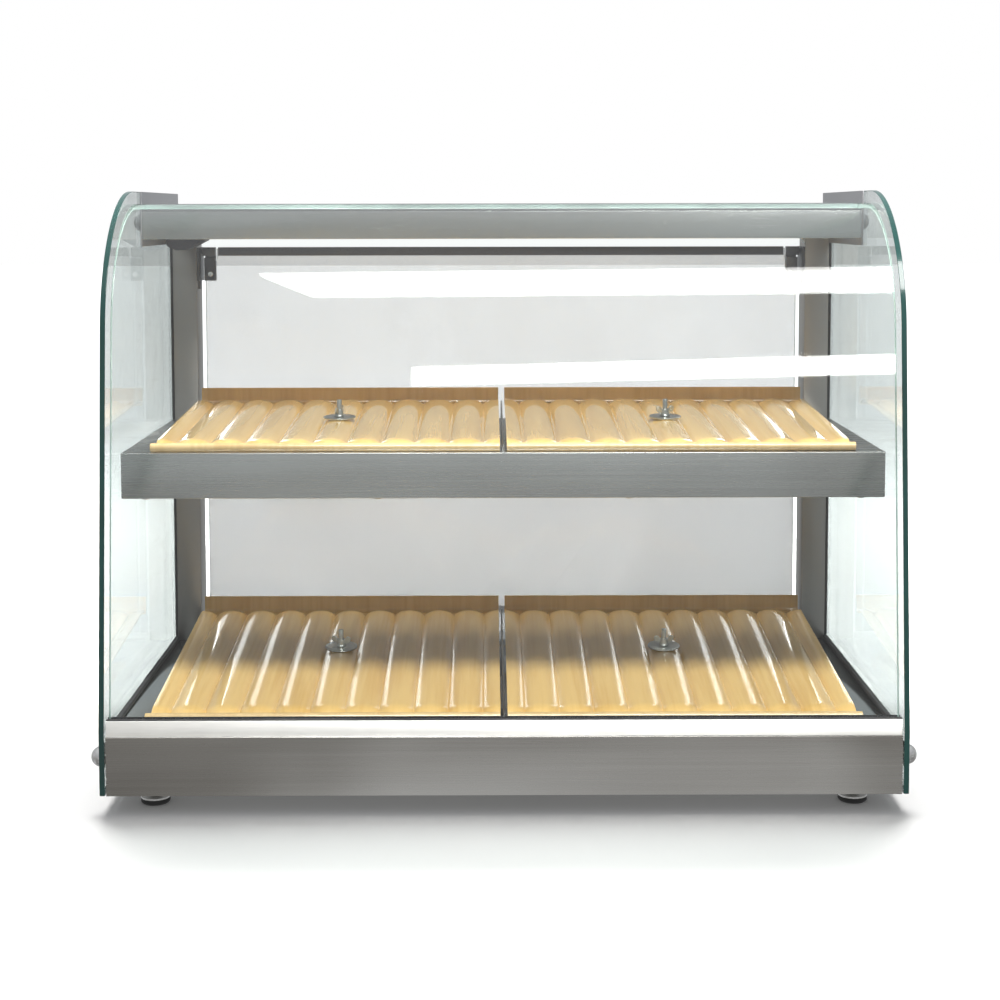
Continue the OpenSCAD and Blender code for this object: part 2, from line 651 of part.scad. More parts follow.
module door_pane() at_case() color("whitesmoke") difference() {
    box([-pane_x, pane_y, deck_z + pane_lift], [pane_x, pane_y + pane_t, pane_top]);
    both_sides() box([arm_in - 2, -far, clamp_low + clamp_h - clamp_web], [far, far, far]);
    for (s = [-1, 1]) rod_y(-far, far, s * handle_x, handle_z, screw_r);
}
module door_trim() at_case() color("dimgray") difference() {
    box([-arm_in + 4, pane_y - trim_wall, hinge_z - trim_h / 2],
        [arm_in - 4, pane_y + pane_t + trim_wall, hinge_z + trim_h / 2]);
    box([-far, pane_y, 0], [far, pane_y + pane_t, pane_top]);
}
module door_handle() at_case() color("silver") {
    bar_y = pane_y + pane_t + handle_reach;
    rod_x(-handle_l / 2, handle_l / 2, bar_y, handle_z, handle_r);
    for (s = [-1, 1]) rod_y(pane_y + pane_t, bar_y, s * handle_x, handle_z, stem_r);
}
module door_screws() at_case() color("silver") {
    for (s = [-1, 1]) {
        rod_y(pane_y, pane_y + pane_t, s * handle_x, handle_z, screw_r);
        rod_y(pane_y - 2.5, pane_y, s * handle_x, handle_z, 2 * screw_r);
    }
    both_sides() {
        rod_y(pane_y - clamp_wall, pane_y, set_screw_x, set_screw_z, set_screw_r);
        rod_y(pane_y - clamp_wall - 1.5, pane_y - clamp_wall, set_screw_x, set_screw_z, set_screw_r + 1.5);
    }
}
module door_stops() at_case() color("black") both_sides()
    box([pane_x - 60, pane_y - 8, deck_z], [pane_x - 40, pane_y - move_gap, deck_z + 12]);

// Closed pop rivets that join the lamp box, the base and the shelf
module case_rivets() at_case() color("silver") {
    for (s = [-1, 1], x = [housing_x * 0.94, housing_x * 0.33])
        rod_y(case_d, case_d + rivet_h, s * x, housing_top - 12, rivet_r);
    for (s = [-1, 1]) rod_y(base_back, base_back + rivet_h, s * (body_x - 12), control_z, rivet_r);
    for (s = [-1, 1], x = [body_x * 0.94, body_x * 0.33], y = [shelf_front + 8, post_front - 8])
        rod_z(shelf_low - rivet_h, shelf_low, s * x, y, rivet_r);
}

base_shell();
base_floor();
deck_plate();
front_rail();
front_seals();
side_seals();
foot_pads();
foot_discs();
rear_posts();
post_brackets();
shelf_body();
shelf_bottom();
lamp_housing();
housing_bottom();
end_plates();
lamp_tube();
lamp_holders();
lamp_cover();
cable_cover();
side_glass_left();
side_glass_right();
front_glass();
cap_nuts();
cap_washers();
glass_bolts();
glass_spacers();
heating_elements();
heater_clips();
thermostat_body();
dial_plate();
thermostat_spindle();
thermostat_knob();
switch_frames();
power_rocker();
light_rocker();
pilot_lamp();
mains_inlet();
terminal_block();
tray_lower_left();
tray_lower_right();
tray_upper_left();
tray_upper_right();
tray_studs();
washer_lower_left();
washer_lower_right();
washer_upper_left();
washer_upper_right();
wing_nut_lower_left();
wing_nut_lower_right();
wing_nut_upper_left();
wing_nut_upper_right();
tray_dividers();
hinge_leaves();
door_pane();
door_trim();
hinge_clamps();
door_handle();
door_screws();
door_stops();
case_rivets();
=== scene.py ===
"""Looks of a heated counter-top display case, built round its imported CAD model.

Metres, with +Z up. The curved front glass faces -Y and the lift-up door faces +Y.
"""

import json
import logging
import math
from contextlib import contextmanager
from dataclasses import dataclass, field
from enum import Enum
from typing import Any, Callable, Iterator, Mapping, Optional, Sequence, Union

import bmesh
import bpy
from mathutils import Matrix, Vector


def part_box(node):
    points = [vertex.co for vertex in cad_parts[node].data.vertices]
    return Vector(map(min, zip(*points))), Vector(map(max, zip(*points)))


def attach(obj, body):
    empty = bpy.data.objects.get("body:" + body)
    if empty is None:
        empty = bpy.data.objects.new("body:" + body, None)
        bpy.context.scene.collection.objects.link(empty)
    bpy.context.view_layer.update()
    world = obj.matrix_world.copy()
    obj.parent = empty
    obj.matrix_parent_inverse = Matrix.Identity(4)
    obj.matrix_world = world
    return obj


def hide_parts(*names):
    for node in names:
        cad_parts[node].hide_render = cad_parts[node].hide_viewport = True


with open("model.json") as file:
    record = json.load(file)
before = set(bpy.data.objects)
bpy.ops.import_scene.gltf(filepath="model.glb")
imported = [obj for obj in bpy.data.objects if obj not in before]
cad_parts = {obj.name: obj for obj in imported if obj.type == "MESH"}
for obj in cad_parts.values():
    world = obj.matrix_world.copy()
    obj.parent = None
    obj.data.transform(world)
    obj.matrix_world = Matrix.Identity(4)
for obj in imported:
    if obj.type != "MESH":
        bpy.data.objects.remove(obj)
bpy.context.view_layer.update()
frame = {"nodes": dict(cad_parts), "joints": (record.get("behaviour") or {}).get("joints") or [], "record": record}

MM = 0.001
NEAR = 1e-5
log = logging.getLogger("display_case")

Piece = bpy.types.Object
Colour = tuple[float, float, float]
Point = tuple[float, float, float]
Plug = Union["Value", float, Sequence[float], None]
Test = Callable[[Vector, Vector], bool]


# ---------------------------------------------------------------- shader maths


class Value:
    """A node's output, on which Python's operators add Math nodes."""

    def __init__(self, recipe: "Recipe", socket: bpy.types.NodeSocket) -> None:
        """Wraps one output socket of a recipe's node tree."""
        self.recipe = recipe
        self.socket = socket

    def maths(self, operation: str, *others: Plug, reflected: bool = False) -> "Value":
        """Adds a Math node.

        Args:
            operation: the Math node's operation.
            others: the further values.
            reflected: True if this value comes last.

        Returns:
            The node's result.
        """
        values = [*others, self] if reflected else [self, *others]
        return self.recipe.node("ShaderNodeMath", {"operation": operation}, dict(enumerate(values)))

    def __add__(self, other: Plug) -> "Value":
        """Sum."""
        return self.maths("ADD", other)

    __radd__ = __add__

    def __sub__(self, other: Plug) -> "Value":
        """Difference."""
        return self.maths("SUBTRACT", other)

    def __rsub__(self, other: Plug) -> "Value":
        """Reflected difference."""
        return self.maths("SUBTRACT", other, reflected=True)

    def __mul__(self, other: Plug) -> "Value":
        """Product."""
        return self.maths("MULTIPLY", other)

    __rmul__ = __mul__

    def __pow__(self, other: Plug) -> "Value":
        """Power."""
        return self.maths("POWER", other)

    def __abs__(self) -> "Value":
        """Size without its sign."""
        return self.maths("ABSOLUTE")

    def above(self, limit: float) -> "Value":
        """1 where the value is over a limit, else 0."""
        return self.maths("GREATER_THAN", limit)

    def span(self, low: float, high: float, out_low: float = 0.0, out_high: float = 1.0) -> "Value":
        """Eases the value from one range to another.

        Args:
            low: the value that gives out_low.
            high: the value that gives out_high.
            out_low: the result at and below low.
            out_high: the result at and above high.

        Returns:
            The eased value.
        """
        return self.recipe.node(
            "ShaderNodeMapRange",
            {"interpolation_type": "SMOOTHSTEP"},
            {0: self, 1: low, 2: high, 3: out_low, 4: out_high},
        )


class Recipe:
    """The node tree of one material or of the world."""

    def __init__(self, name: str, tree: Optional[bpy.types.NodeTree] = None) -> None:
        """Starts an empty tree.

        Args:
            name: the material's name.
            tree: a tree to fill, or None for a new material's.
        """
        self.material: Optional[bpy.types.Material] = None
        if tree is None:
            self.material = bpy.data.materials.new(name)
            self.material.use_nodes = True
            tree = self.material.node_tree
        self.tree = tree
        self.tree.nodes.clear()

    def node(
        self,
        kind: str,
        settings: Optional[Mapping[str, Any]] = None,
        inputs: Optional[Mapping[Union[int, str], Plug]] = None,
        output: Union[int, str] = 0,
    ) -> Value:
        """Adds a node.

        Args:
            kind: the node's type.
            settings: its settings, and a ramp's stops as "stops".
            inputs: values or links, by socket.
            output: the socket to give back.

        Returns:
            The output asked for.
        """
        made = self.tree.nodes.new(kind)
        for key, value in (settings or {}).items():
            if key == "stops":
                ramp = made.color_ramp
                while len(ramp.elements) < len(value):
                    ramp.elements.new(1.0)
                for stop, (place, colour) in zip(ramp.elements, value):
                    stop.position = place
                    stop.color = (*colour, 1.0)
            else:
                setattr(made, key, value)
        for key, value in (inputs or {}).items():
            socket = made.inputs[key]
            if isinstance(value, Value):
                self.tree.links.new(value.socket, socket)
            elif value is not None:
                room = len(socket.default_value) if hasattr(socket.default_value, "__len__") else 0
                socket.default_value = (*value, 1.0) if room == 4 and len(value) == 3 else value
        return Value(self, made.outputs[output]) if made.outputs else Value(self, None)

    def place(self, scale: Point = (1, 1, 1), turn: Point = (0, 0, 0), shift: Point = (0, 0, 0)) -> Value:
        """Object coordinates, moved, turned and scaled."""
        source = self.node("ShaderNodeTexCoord", output="Object")
        return self.node(
            "ShaderNodeMapping",
            inputs={"Vector": source, "Location": shift, "Rotation": turn, "Scale": scale},
        )

    def axis(self, index: int) -> Value:
        """The object coordinate X, Y or Z, as 0, 1 or 2."""
        return self.split("Object", index)

    def facing(self, index: int) -> Value:
        """The surface normal's X, Y or Z in the object's frame."""
        return self.split("Normal", index)

    def split(self, source: str, index: int) -> Value:
        """X, Y or Z of one of the texture coordinates."""
        whole = self.node("ShaderNodeTexCoord", output=source)
        return self.node("ShaderNodeSeparateXYZ", inputs={0: whole}, output=index)

    def noise(self, scale: Point, detail: float = 2.0, rough: float = 0.5, shift: Point = (0, 0, 0)) -> Value:
        """Noise over object coordinates, with its size set for each axis.

        Args:
            scale: features a metre along X, Y and Z.
            detail: octaves.
            rough: how strong the finer octaves are.
            shift: offset of the pattern.

        Returns:
            The noise, from 0 to 1.
        """
        return self.node(
            "ShaderNodeTexNoise",
            {"noise_dimensions": "3D"},
            {"Vector": self.place(scale, shift=shift), "Scale": 1.0, "Detail": detail, "Roughness": rough},
        )

    def mix(self, factor: Plug, first: Plug, second: Plug) -> Value:
        """A mix of two colours."""
        return self.node("ShaderNodeMix", {"data_type": "RGBA"}, {0: factor, 6: first, 7: second}, 2)

    def ramp(self, value: Value, *stops: tuple[float, Colour]) -> Value:
        """A colour ramp over a value."""
        return self.node("ShaderNodeValToRGB", {"stops": stops}, {0: value})

    def bump(self, height: Value, distance: float, strength: float = 1.0) -> Value:
        """A normal from a height, whose full range is so many metres."""
        return self.node(
            "ShaderNodeBump", inputs={"Strength": strength, "Distance": distance, "Height": height}
        )

    def surface(self, **inputs: Plug) -> Value:
        """A Principled shader, whose sockets are named with _ for spaces."""
        return self.node(
            "ShaderNodeBsdfPrincipled", inputs={k.replace("_", " "): v for k, v in inputs.items()}
        )

    def shader_mix(self, factor: Plug, first: Value, second: Value) -> Value:
        """A mix of two shaders."""
        return self.node("ShaderNodeMixShader", inputs={0: factor, 1: first, 2: second})

    def finish(self, shader: Value) -> Optional[bpy.types.Material]:
        """Links the shader to the output and gives back the material."""
        self.node("ShaderNodeOutputMaterial", inputs={0: shader})
        return self.material


# ---------------------------------------------------------------- finishes


class Grain(Enum):
    """The way that sheet steel is brushed."""

    LEVEL = "level"
    UPRIGHT = "upright"


@dataclass(frozen=True)
class BrushedSteel:
    """Sheet steel with brush lines, a slow, stained unevenness, and painted reflections: brightness stops along X
    and a step along Z.
    """

    name: str
    tone: Colour = (0.60, 0.59, 0.57)
    grain: Grain = Grain.LEVEL
    roughness: float = 0.27
    # painted reflection: brightness stops along X, and a step along Z given as (low height, high height, amount)
    painted_reflection_bands: tuple[tuple[float, float], ...] = ()
    painted_reflection_fade: tuple[float, float, float] = (0.0, 1.0, 0.0)

    def make(self) -> bpy.types.Material:
        """Builds the material."""
        r = Recipe(self.name)
        if self.grain is Grain.LEVEL:
            flat = abs(r.facing(2)).above(0.7)
            wall = 1.0 - flat
            fine = r.noise((5, 5, 1500), 3) * wall + r.noise((5, 1500, 5), 3) * flat
            coarse = r.noise((1.6, 1.6, 230), 2) * wall + r.noise((1.6, 230, 1.6), 2) * flat
        else:
            fine = r.noise((1500, 1500, 5), 2)
            coarse = r.noise((120, 120, 1.2), 1)
        cloud = r.noise((2.2, 2.2, 3.5), 3, 0.55, (3.1, 0.4, 7.7))
        shade = (fine - 0.5) * 0.12 + (coarse - 0.5) * 0.08 + (cloud - 0.5) * 0.30 + 1.0
        # painted reflection: brighter and darker bands along the width stand in for the reflections on the steel
        if self.painted_reflection_bands:
            along = r.axis(0)
            for (x0, f0), (x1, f1) in zip(self.painted_reflection_bands, self.painted_reflection_bands[1:]):
                shade = shade + along.span(x0, x1, 0.0, f1 - f0)
            shade = shade + (self.painted_reflection_bands[0][1] - 1.0)
        # painted reflection: the shade shifts by the amount above the upper height, eased in from the lower one
        if self.painted_reflection_fade[2]:
            shade = shade + r.axis(2).span(self.painted_reflection_fade[0], self.painted_reflection_fade[1], 0.0, self.painted_reflection_fade[2])
        dark = tuple(c * 0.55 * t for c, t in zip(self.tone, (1.0, 0.97, 0.93)))
        colour = r.mix(shade.span(0.45, 1.2), dark, tuple(min(1.0, c * 1.12) for c in self.tone))
        rough = (fine - 0.5) * 0.12 + (coarse - 0.5) * 0.05 + (cloud - 0.5) * 0.12 + self.roughness
        shader = r.surface(
            Base_Color=colour, Metallic=1.0, Roughness=rough,
            Normal=r.bump(fine, 0.00002, 0.5),
        )
        return r.finish(shader)


@dataclass(frozen=True)
class Metal:
    """Plain metal with smudges, fine scratches and dull patches."""

    name: str
    tone: Colour
    roughness: float
    wear: float = 0.12
    pits: float = 0.0

    def make(self) -> bpy.types.Material:
        """Builds the material."""
        r = Recipe(self.name)
        smudge = r.noise((9, 9, 9), 4, 0.6)
        scratch = r.noise((30, 900, 900), 2)
        pit = r.noise((900, 900, 900), 1)
        shade = (smudge - 0.5) * 0.3 + (scratch - 0.5) * 0.15
        colour = r.mix(shade.span(-0.2, 0.2), tuple(c * 0.82 for c in self.tone), self.tone)
        uneven = (smudge - 0.5) * self.wear + (scratch - 0.5) * self.wear
        rough = uneven + (pit - 0.5) * self.pits + self.roughness
        return r.finish(r.surface(
            Base_Color=colour, Metallic=1.0, Roughness=rough,
            Normal=r.bump(scratch + pit * (self.pits * 4), 0.00003, 0.6),
        ))


@dataclass(frozen=True)
class Moulded:
    """Plastic, rubber or paint: a base colour, a fine texture and slight dust."""

    name: str
    tone: Colour
    roughness: float
    texture: float = 0.00004
    dust: float = 0.05
    coat: float = 0.0
    glow: float = 0.0

    def make(self) -> bpy.types.Material:
        """Builds the material."""
        r = Recipe(self.name)
        grain = r.noise((1700, 1700, 1700), 2)
        cloud = r.noise((14, 14, 14), 4, 0.6)
        pale = tuple(c + (0.6 - c) * self.dust * 2.2 for c in self.tone)
        colour = r.mix(cloud.span(0.3, 0.8), self.tone, pale)
        rough = (cloud - 0.5) * 0.14 + (grain - 0.5) * 0.1 + self.roughness
        return r.finish(r.surface(
            Base_Color=colour, Roughness=rough, Normal=r.bump(grain, self.texture, 0.8),
            Coat_Weight=self.coat, Coat_Roughness=0.06,
            Emission_Color=self.tone, Emission_Strength=self.glow,
        ))


@dataclass(frozen=True)
class Pane:
    """A clear glass face: it tints what is behind it and mirrors more at a slant. An optional grey veil covers
    part of it, and the veil's extra share toward the bottom is painted shade.
    """

    name: str
    tint: Colour
    film: float = 0.0
    film_tone: Colour = (0.68, 0.69, 0.72)
    painted_shade_low: float = 0.0

    def make(self) -> bpy.types.Material:
        """Builds the material."""
        r = Recipe(self.name)
        slant = r.node("ShaderNodeLayerWeight", inputs={"Blend": 0.5}, output="Facing")
        mirror = 0.04 + 0.96 * slant ** 5
        wipe = r.noise((5, 5, 3), 4, 0.62, (1.3, 2.2, 0.5))
        clear = r.node("ShaderNodeBsdfTransparent", inputs={"Color": self.tint})
        if self.film:
            # painted shade: more grey veil low on the pane darkens what is seen through it there
            low = r.axis(2).span(0.30, 0.42, self.painted_shade_low, 0.0)
            share = (wipe - 0.5) * (self.film * 0.5) + self.film + low
            veil = r.surface(Base_Color=self.film_tone, Roughness=0.5)
            clear = r.shader_mix(share, clear, veil)
        gloss = r.node(
            "ShaderNodeBsdfGlossy",
            inputs={"Color": (1, 1, 1), "Roughness": wipe.span(0.35, 0.8, 0.012, 0.03)},
        )
        return r.finish(r.shader_mix(mirror, clear, gloss))


@dataclass(frozen=True)
class CutEdge:
    """The ground edge of a glass sheet, where its own green shows."""

    name: str
    tone: Colour = (0.006, 0.034, 0.030)

    def make(self) -> bpy.types.Material:
        """Builds the material."""
        r = Recipe(self.name)
        cloud = r.noise((6, 6, 6), 3)
        colour = r.mix(cloud.span(0.3, 0.7), self.tone, tuple(c * 1.9 for c in self.tone))
        grind = r.noise((700, 700, 700), 2)
        return r.finish(r.surface(
            Base_Color=colour, Roughness=(grind - 0.5) * 0.1 + 0.16, Normal=r.bump(grind, 0.00002, 0.4),
            Coat_Weight=0.6, Coat_Roughness=0.04,
        ))


@dataclass(frozen=True)
class TrayEnamel:
    """Wood-yellow glossy sheet with pale and brown streaks along its ridges."""

    name: str
    light: Colour = (0.76, 0.50, 0.185)
    dark: Colour = (0.67, 0.41, 0.13)
    shift: float = 0.0

    def make(self) -> bpy.types.Material:
        """Builds the material."""
        r = Recipe(self.name)
        grain = r.noise((150, 4.5, 4.5), 5, 0.62, (self.shift, 0, 0))
        rings = r.noise((34, 2.0, 2.0), 4, 0.7, (self.shift * 3, 1.7, 0))
        cloud = r.noise((7, 4, 4), 3, 0.5, (0, self.shift, 0))
        streak = (grain - 0.5) * 0.6 + (rings - 0.5) * 0.6 + (cloud - 0.5) * 0.5 + 0.5
        colour = r.ramp(
            streak,
            (0.0, tuple(c * 0.82 for c in self.dark)), (0.34, self.dark),
            (0.56, self.light), (1.0, tuple(min(1.0, c * 1.12) for c in self.light)),
        )
        orange = r.noise((260, 130, 130), 2)
        rough = (cloud - 0.5) * 0.10 + (grain - 0.5) * 0.06 + 0.24
        return r.finish(r.surface(
            Base_Color=colour, Roughness=rough, Normal=r.bump(orange, 0.00012, 0.5),
            Coat_Weight=1.0, Coat_Roughness=0.05, Specular_IOR_Level=0.55,
        ))


@dataclass(frozen=True)
class FloorPaint:
    """The plain pale floor, which stays white far behind the lights."""

    name: str = "studio_floor"
    near: float = 0.7
    far: float = 2.2

    def make(self) -> bpy.types.Material:
        """Builds the material."""
        r = Recipe(self.name)
        cloud = r.noise((1.5, 1.5, 1.5), 2)
        colour = r.mix(cloud, (0.86, 0.86, 0.86), (0.90, 0.90, 0.90))
        away = (r.axis(0) ** 2 + r.axis(1) ** 2) ** 0.5
        fill = r.ramp(away.span(self.near, self.far), (0.0, (0.03, 0.03, 0.03)), (1.0, (1.1, 1.1, 1.1)))
        return r.finish(r.surface(
            Base_Color=colour, Roughness=0.9, Specular_IOR_Level=0.1, Emission_Color=fill,
            Emission_Strength=1.0,
        ))


def finishes() -> dict[str, bpy.types.Material]:
    """Makes every finish of the case.

    Returns:
        The materials, by the name of the finish.
    """
    # painted reflections: the fascia's and shelf's brightness along their width, and the fascia's darker top, copy
    # the reflections on the steel
    fascia_painted_reflection = (
        (-0.44, 0.64), (-0.33, 0.66), (-0.22, 0.82), (-0.10, 1.08), (0.10, 1.10), (0.25, 1.14), (0.34, 1.08),
        (0.44, 0.74),
    )
    shelf_painted_reflection = ((-0.42, 0.84), (-0.26, 0.96), (-0.10, 1.06), (0.10, 1.04), (0.26, 0.90), (0.42, 0.66))
    recipes = [
        BrushedSteel("fascia_steel", (0.68, 0.67, 0.64), painted_reflection_bands=fascia_painted_reflection, painted_reflection_fade=(0.05, 0.095, -0.32)),
        BrushedSteel("shelf_steel", (0.70, 0.70, 0.70), painted_reflection_bands=shelf_painted_reflection),
        BrushedSteel("housing_steel", (0.60, 0.61, 0.60), roughness=0.24),
        BrushedSteel("deck_steel", (0.56, 0.57, 0.57), roughness=0.2),
        BrushedSteel("post_steel", (0.40, 0.38, 0.365), Grain.UPRIGHT, 0.38),
        BrushedSteel("sheet_steel", (0.52, 0.52, 0.51), roughness=0.34),
        Metal("bright_steel", (0.82, 0.82, 0.81), 0.12),
        Metal("rail_steel", (0.97, 0.97, 0.94), 0.5),
        Metal("satin_aluminium", (0.56, 0.56, 0.58), 0.36),
        Metal("zinc_plate", (0.55, 0.56, 0.54), 0.30, 0.16, 0.08),
        Metal("dark_zinc", (0.13, 0.13, 0.14), 0.38, 0.14, 0.05),
        Metal("heater_oxide", (0.10, 0.10, 0.09), 0.46, 0.2, 0.1),
        Pane("side_pane", (0.885, 0.915, 0.912)),
        Pane("front_pane", (0.975, 0.99, 0.985)),
        # door: a grey veil that is partly haze on the glass and partly painted shade for the dimmer backdrop seen
        # through it; its extra share toward the bottom is painted shade
        Pane("door_film", (0.955, 0.96, 0.97), film=0.24, painted_shade_low=0.30),
        Pane("lamp_pane", (0.96, 0.97, 0.98), film=0.1),
        CutEdge("side_edge"),
        CutEdge("front_edge", (0.30, 0.40, 0.37)),
        CutEdge("door_edge", (0.40, 0.46, 0.46)),
        TrayEnamel("tray_enamel_a", shift=1.3),
        TrayEnamel("tray_enamel_b", shift=7.9),
        TrayEnamel("lip_enamel", (0.72, 0.51, 0.25), (0.62, 0.41, 0.18), 4.2),
        Moulded("seal_rubber", (0.022, 0.022, 0.024), 0.62, 0.00006, 0.03),
        Moulded("foot_rubber", (0.018, 0.018, 0.018), 0.7, 0.00008, 0.04),
        Moulded("black_moulding", (0.022, 0.022, 0.024), 0.42, 0.00005, 0.03),
        Moulded("knob_moulding", (0.018, 0.018, 0.02), 0.33, 0.00003, 0.02, 0.2),
        Moulded("navy_moulding", (0.035, 0.042, 0.075), 0.4, 0.00005, 0.04),
        Moulded("white_moulding", (0.80, 0.80, 0.78), 0.4, 0.00003, 0.02),
        Moulded("mark_paint", (0.85, 0.85, 0.83), 0.5, 0.00002, 0.02),
        Moulded("green_lens", (0.02, 0.24, 0.09), 0.18, 0.00001, 0.01, 0.8),
        Moulded("amber_lens", (0.85, 0.36, 0.05), 0.16, 0.00001, 0.01, 0.8, 0.15),
        Moulded("opal_tube", (0.88, 0.88, 0.86), 0.22, 0.00001, 0.01, 0.6),
        FloorPaint(),
    ]
    return {r.name: r.make() for r in recipes}


# ---------------------------------------------------------------- modelling tools


class Bench:
    """Blender's modelling operators, used as by hand on one mesh at a time."""

    @staticmethod
    def take(*pieces: Piece) -> Piece:
        """Selects only these objects, with the first active."""
        bpy.ops.object.select_all(action="DESELECT")
        for piece in pieces:
            piece.hide_set(False)
            piece.select_set(True)
        bpy.context.view_layer.objects.active = pieces[0]
        return pieces[0]

    @staticmethod
    def added(name: str) -> Piece:
        """Names the primitive that was just added."""
        made = bpy.context.object
        made.name = made.data.name = name
        return Bench.take(made)

    @staticmethod
    def block(name: str, low: Sequence[float], high: Sequence[float]) -> Piece:
        """A block between two corners, ready to be shaped."""
        bpy.ops.object.select_all(action="DESELECT")
        size = [b - a for a, b in zip(low, high)]
        middle = [(a + b) / 2 for a, b in zip(low, high)]
        bpy.ops.mesh.primitive_cube_add(size=1, location=middle, scale=size)
        return Bench.settle(Bench.added(name))

    @staticmethod
    def rod(
        name: str, start: Sequence[float], end: Sequence[float], radius: float, top: Optional[float] = None,
        sides: int = 48,
    ) -> Piece:
        """A round bar, or a cone where the top radius differs."""
        bpy.ops.object.select_all(action="DESELECT")
        a, b = Vector(start), Vector(end)
        turn = (b - a).to_track_quat("Z", "Y").to_euler()
        bpy.ops.mesh.primitive_cone_add(
            vertices=sides, radius1=radius, radius2=radius if top is None else top, depth=(b - a).length,
            location=(a + b) / 2, rotation=turn,
        )
        return Bench.settle(Bench.added(name))

    @staticmethod
    def grid(
        name: str, middle: Sequence[float], size: tuple[float, float], turn: float = 0.0,
        cells: tuple[int, int] = (1, 1),
    ) -> Piece:
        """A flat grid of so many cells, turned about X, ready to be shaped."""
        bpy.ops.object.select_all(action="DESELECT")
        bpy.ops.mesh.primitive_grid_add(
            x_subdivisions=cells[0], y_subdivisions=cells[1], size=1, location=middle, rotation=(turn, 0, 0)
        )
        made = Bench.added(name)
        made.scale = (*size, 1)
        return Bench.settle(made)

    @staticmethod
    def settle(piece: Piece) -> Piece:
        """Puts an object's place, turn and scale into its mesh."""
        Bench.take(piece)
        bpy.ops.object.transform_apply(location=True, rotation=True, scale=True)
        return piece

    @staticmethod
    @contextmanager
    def editing(piece: Piece, mode: str = "FACE") -> Iterator[Piece]:
        """Edit mode on one piece, with nothing selected at the start."""
        Bench.take(piece)
        bpy.ops.object.mode_set(mode="EDIT")
        bpy.ops.mesh.select_mode(type=mode)
        bpy.ops.mesh.select_all(action="DESELECT")
        try:
            yield piece
        finally:
            bpy.ops.object.mode_set(mode="OBJECT")

    @staticmethod
    def pick(piece: Piece, kind: str, test: Test) -> None:
        """Selects elements by their place and normal, in edit mode.

        Args:
            piece: the piece in edit mode.
            kind: "verts", "edges" or "faces".
            test: says of a middle point and a normal whether it is wanted.
        """
        mesh = bmesh.from_edit_mesh(piece.data)
        mesh.normal_update()
        for group in (mesh.verts, mesh.edges, mesh.faces):
            for item in group:
                item.select = False
        for item in getattr(mesh, kind):
            if kind == "verts":
                where, normal = item.co, item.normal
            elif kind == "edges":
                where = (item.verts[0].co + item.verts[1].co) / 2
                normal = (item.verts[1].co - item.verts[0].co).normalized()
            else:
                where, normal = item.calc_center_median(), item.normal
            if test(where, normal):
                item.select_set(True)
        bmesh.update_edit_mesh(piece.data)

    @staticmethod
    def cut(place: Point, normal: Point, **settings: Any) -> None:
        """Bisects the whole piece in edit mode."""
        bpy.ops.mesh.select_all(action="SELECT")
        bpy.ops.mesh.bisect(plane_co=place, plane_no=normal, **settings)

    @staticmethod
    def modify(piece: Piece, kind: str, **settings: Any) -> Piece:
        """Adds a modifier with its settings and applies it."""
        Bench.take(piece)
        modifier = piece.modifiers.new(kind.lower(), kind)
        for key, value in settings.items():
            setattr(modifier, key, value)
        bpy.ops.object.modifier_apply(modifier=modifier.name)
        return piece

    @staticmethod
    def soften(piece: Piece, width: float, segments: int = 2, angle: float = 32.0) -> Piece:
        """Rounds the sharp edges and shades the piece smooth."""
        Bench.take(piece)
        bpy.ops.object.shade_smooth()
        return Bench.modify(
            piece, "BEVEL", width=width, segments=segments, limit_method="ANGLE",
            angle_limit=math.radians(angle), harden_normals=True, miter_outer="MITER_ARC",
        )

    @staticmethod
    def smooth(piece: Piece, angle: float = 40.0) -> Piece:
        """Shades a piece smooth up to an angle."""
        Bench.take(piece)
        bpy.ops.object.shade_smooth_by_angle(angle=math.radians(angle))
        return piece

    @staticmethod
    def join(name: str, *pieces: Piece) -> Piece:
        """Joins pieces into the first one."""
        Bench.take(*pieces)
        bpy.ops.object.join()
        pieces[0].name = pieces[0].data.name = name
        return pieces[0]

    @staticmethod
    def outward(piece: Piece) -> Piece:
        """Merges doubles and turns every face outwards."""
        with Bench.editing(piece):
            bpy.ops.mesh.select_all(action="SELECT")
            bpy.ops.mesh.remove_doubles(threshold=0.00001)
            bpy.ops.mesh.normals_make_consistent(inside=False)
        return piece

    @staticmethod
    def posed(piece: Piece, matrix: Matrix) -> Piece:
        """Puts a piece made at the origin in its place."""
        piece.matrix_world = matrix
        return Bench.settle(piece)


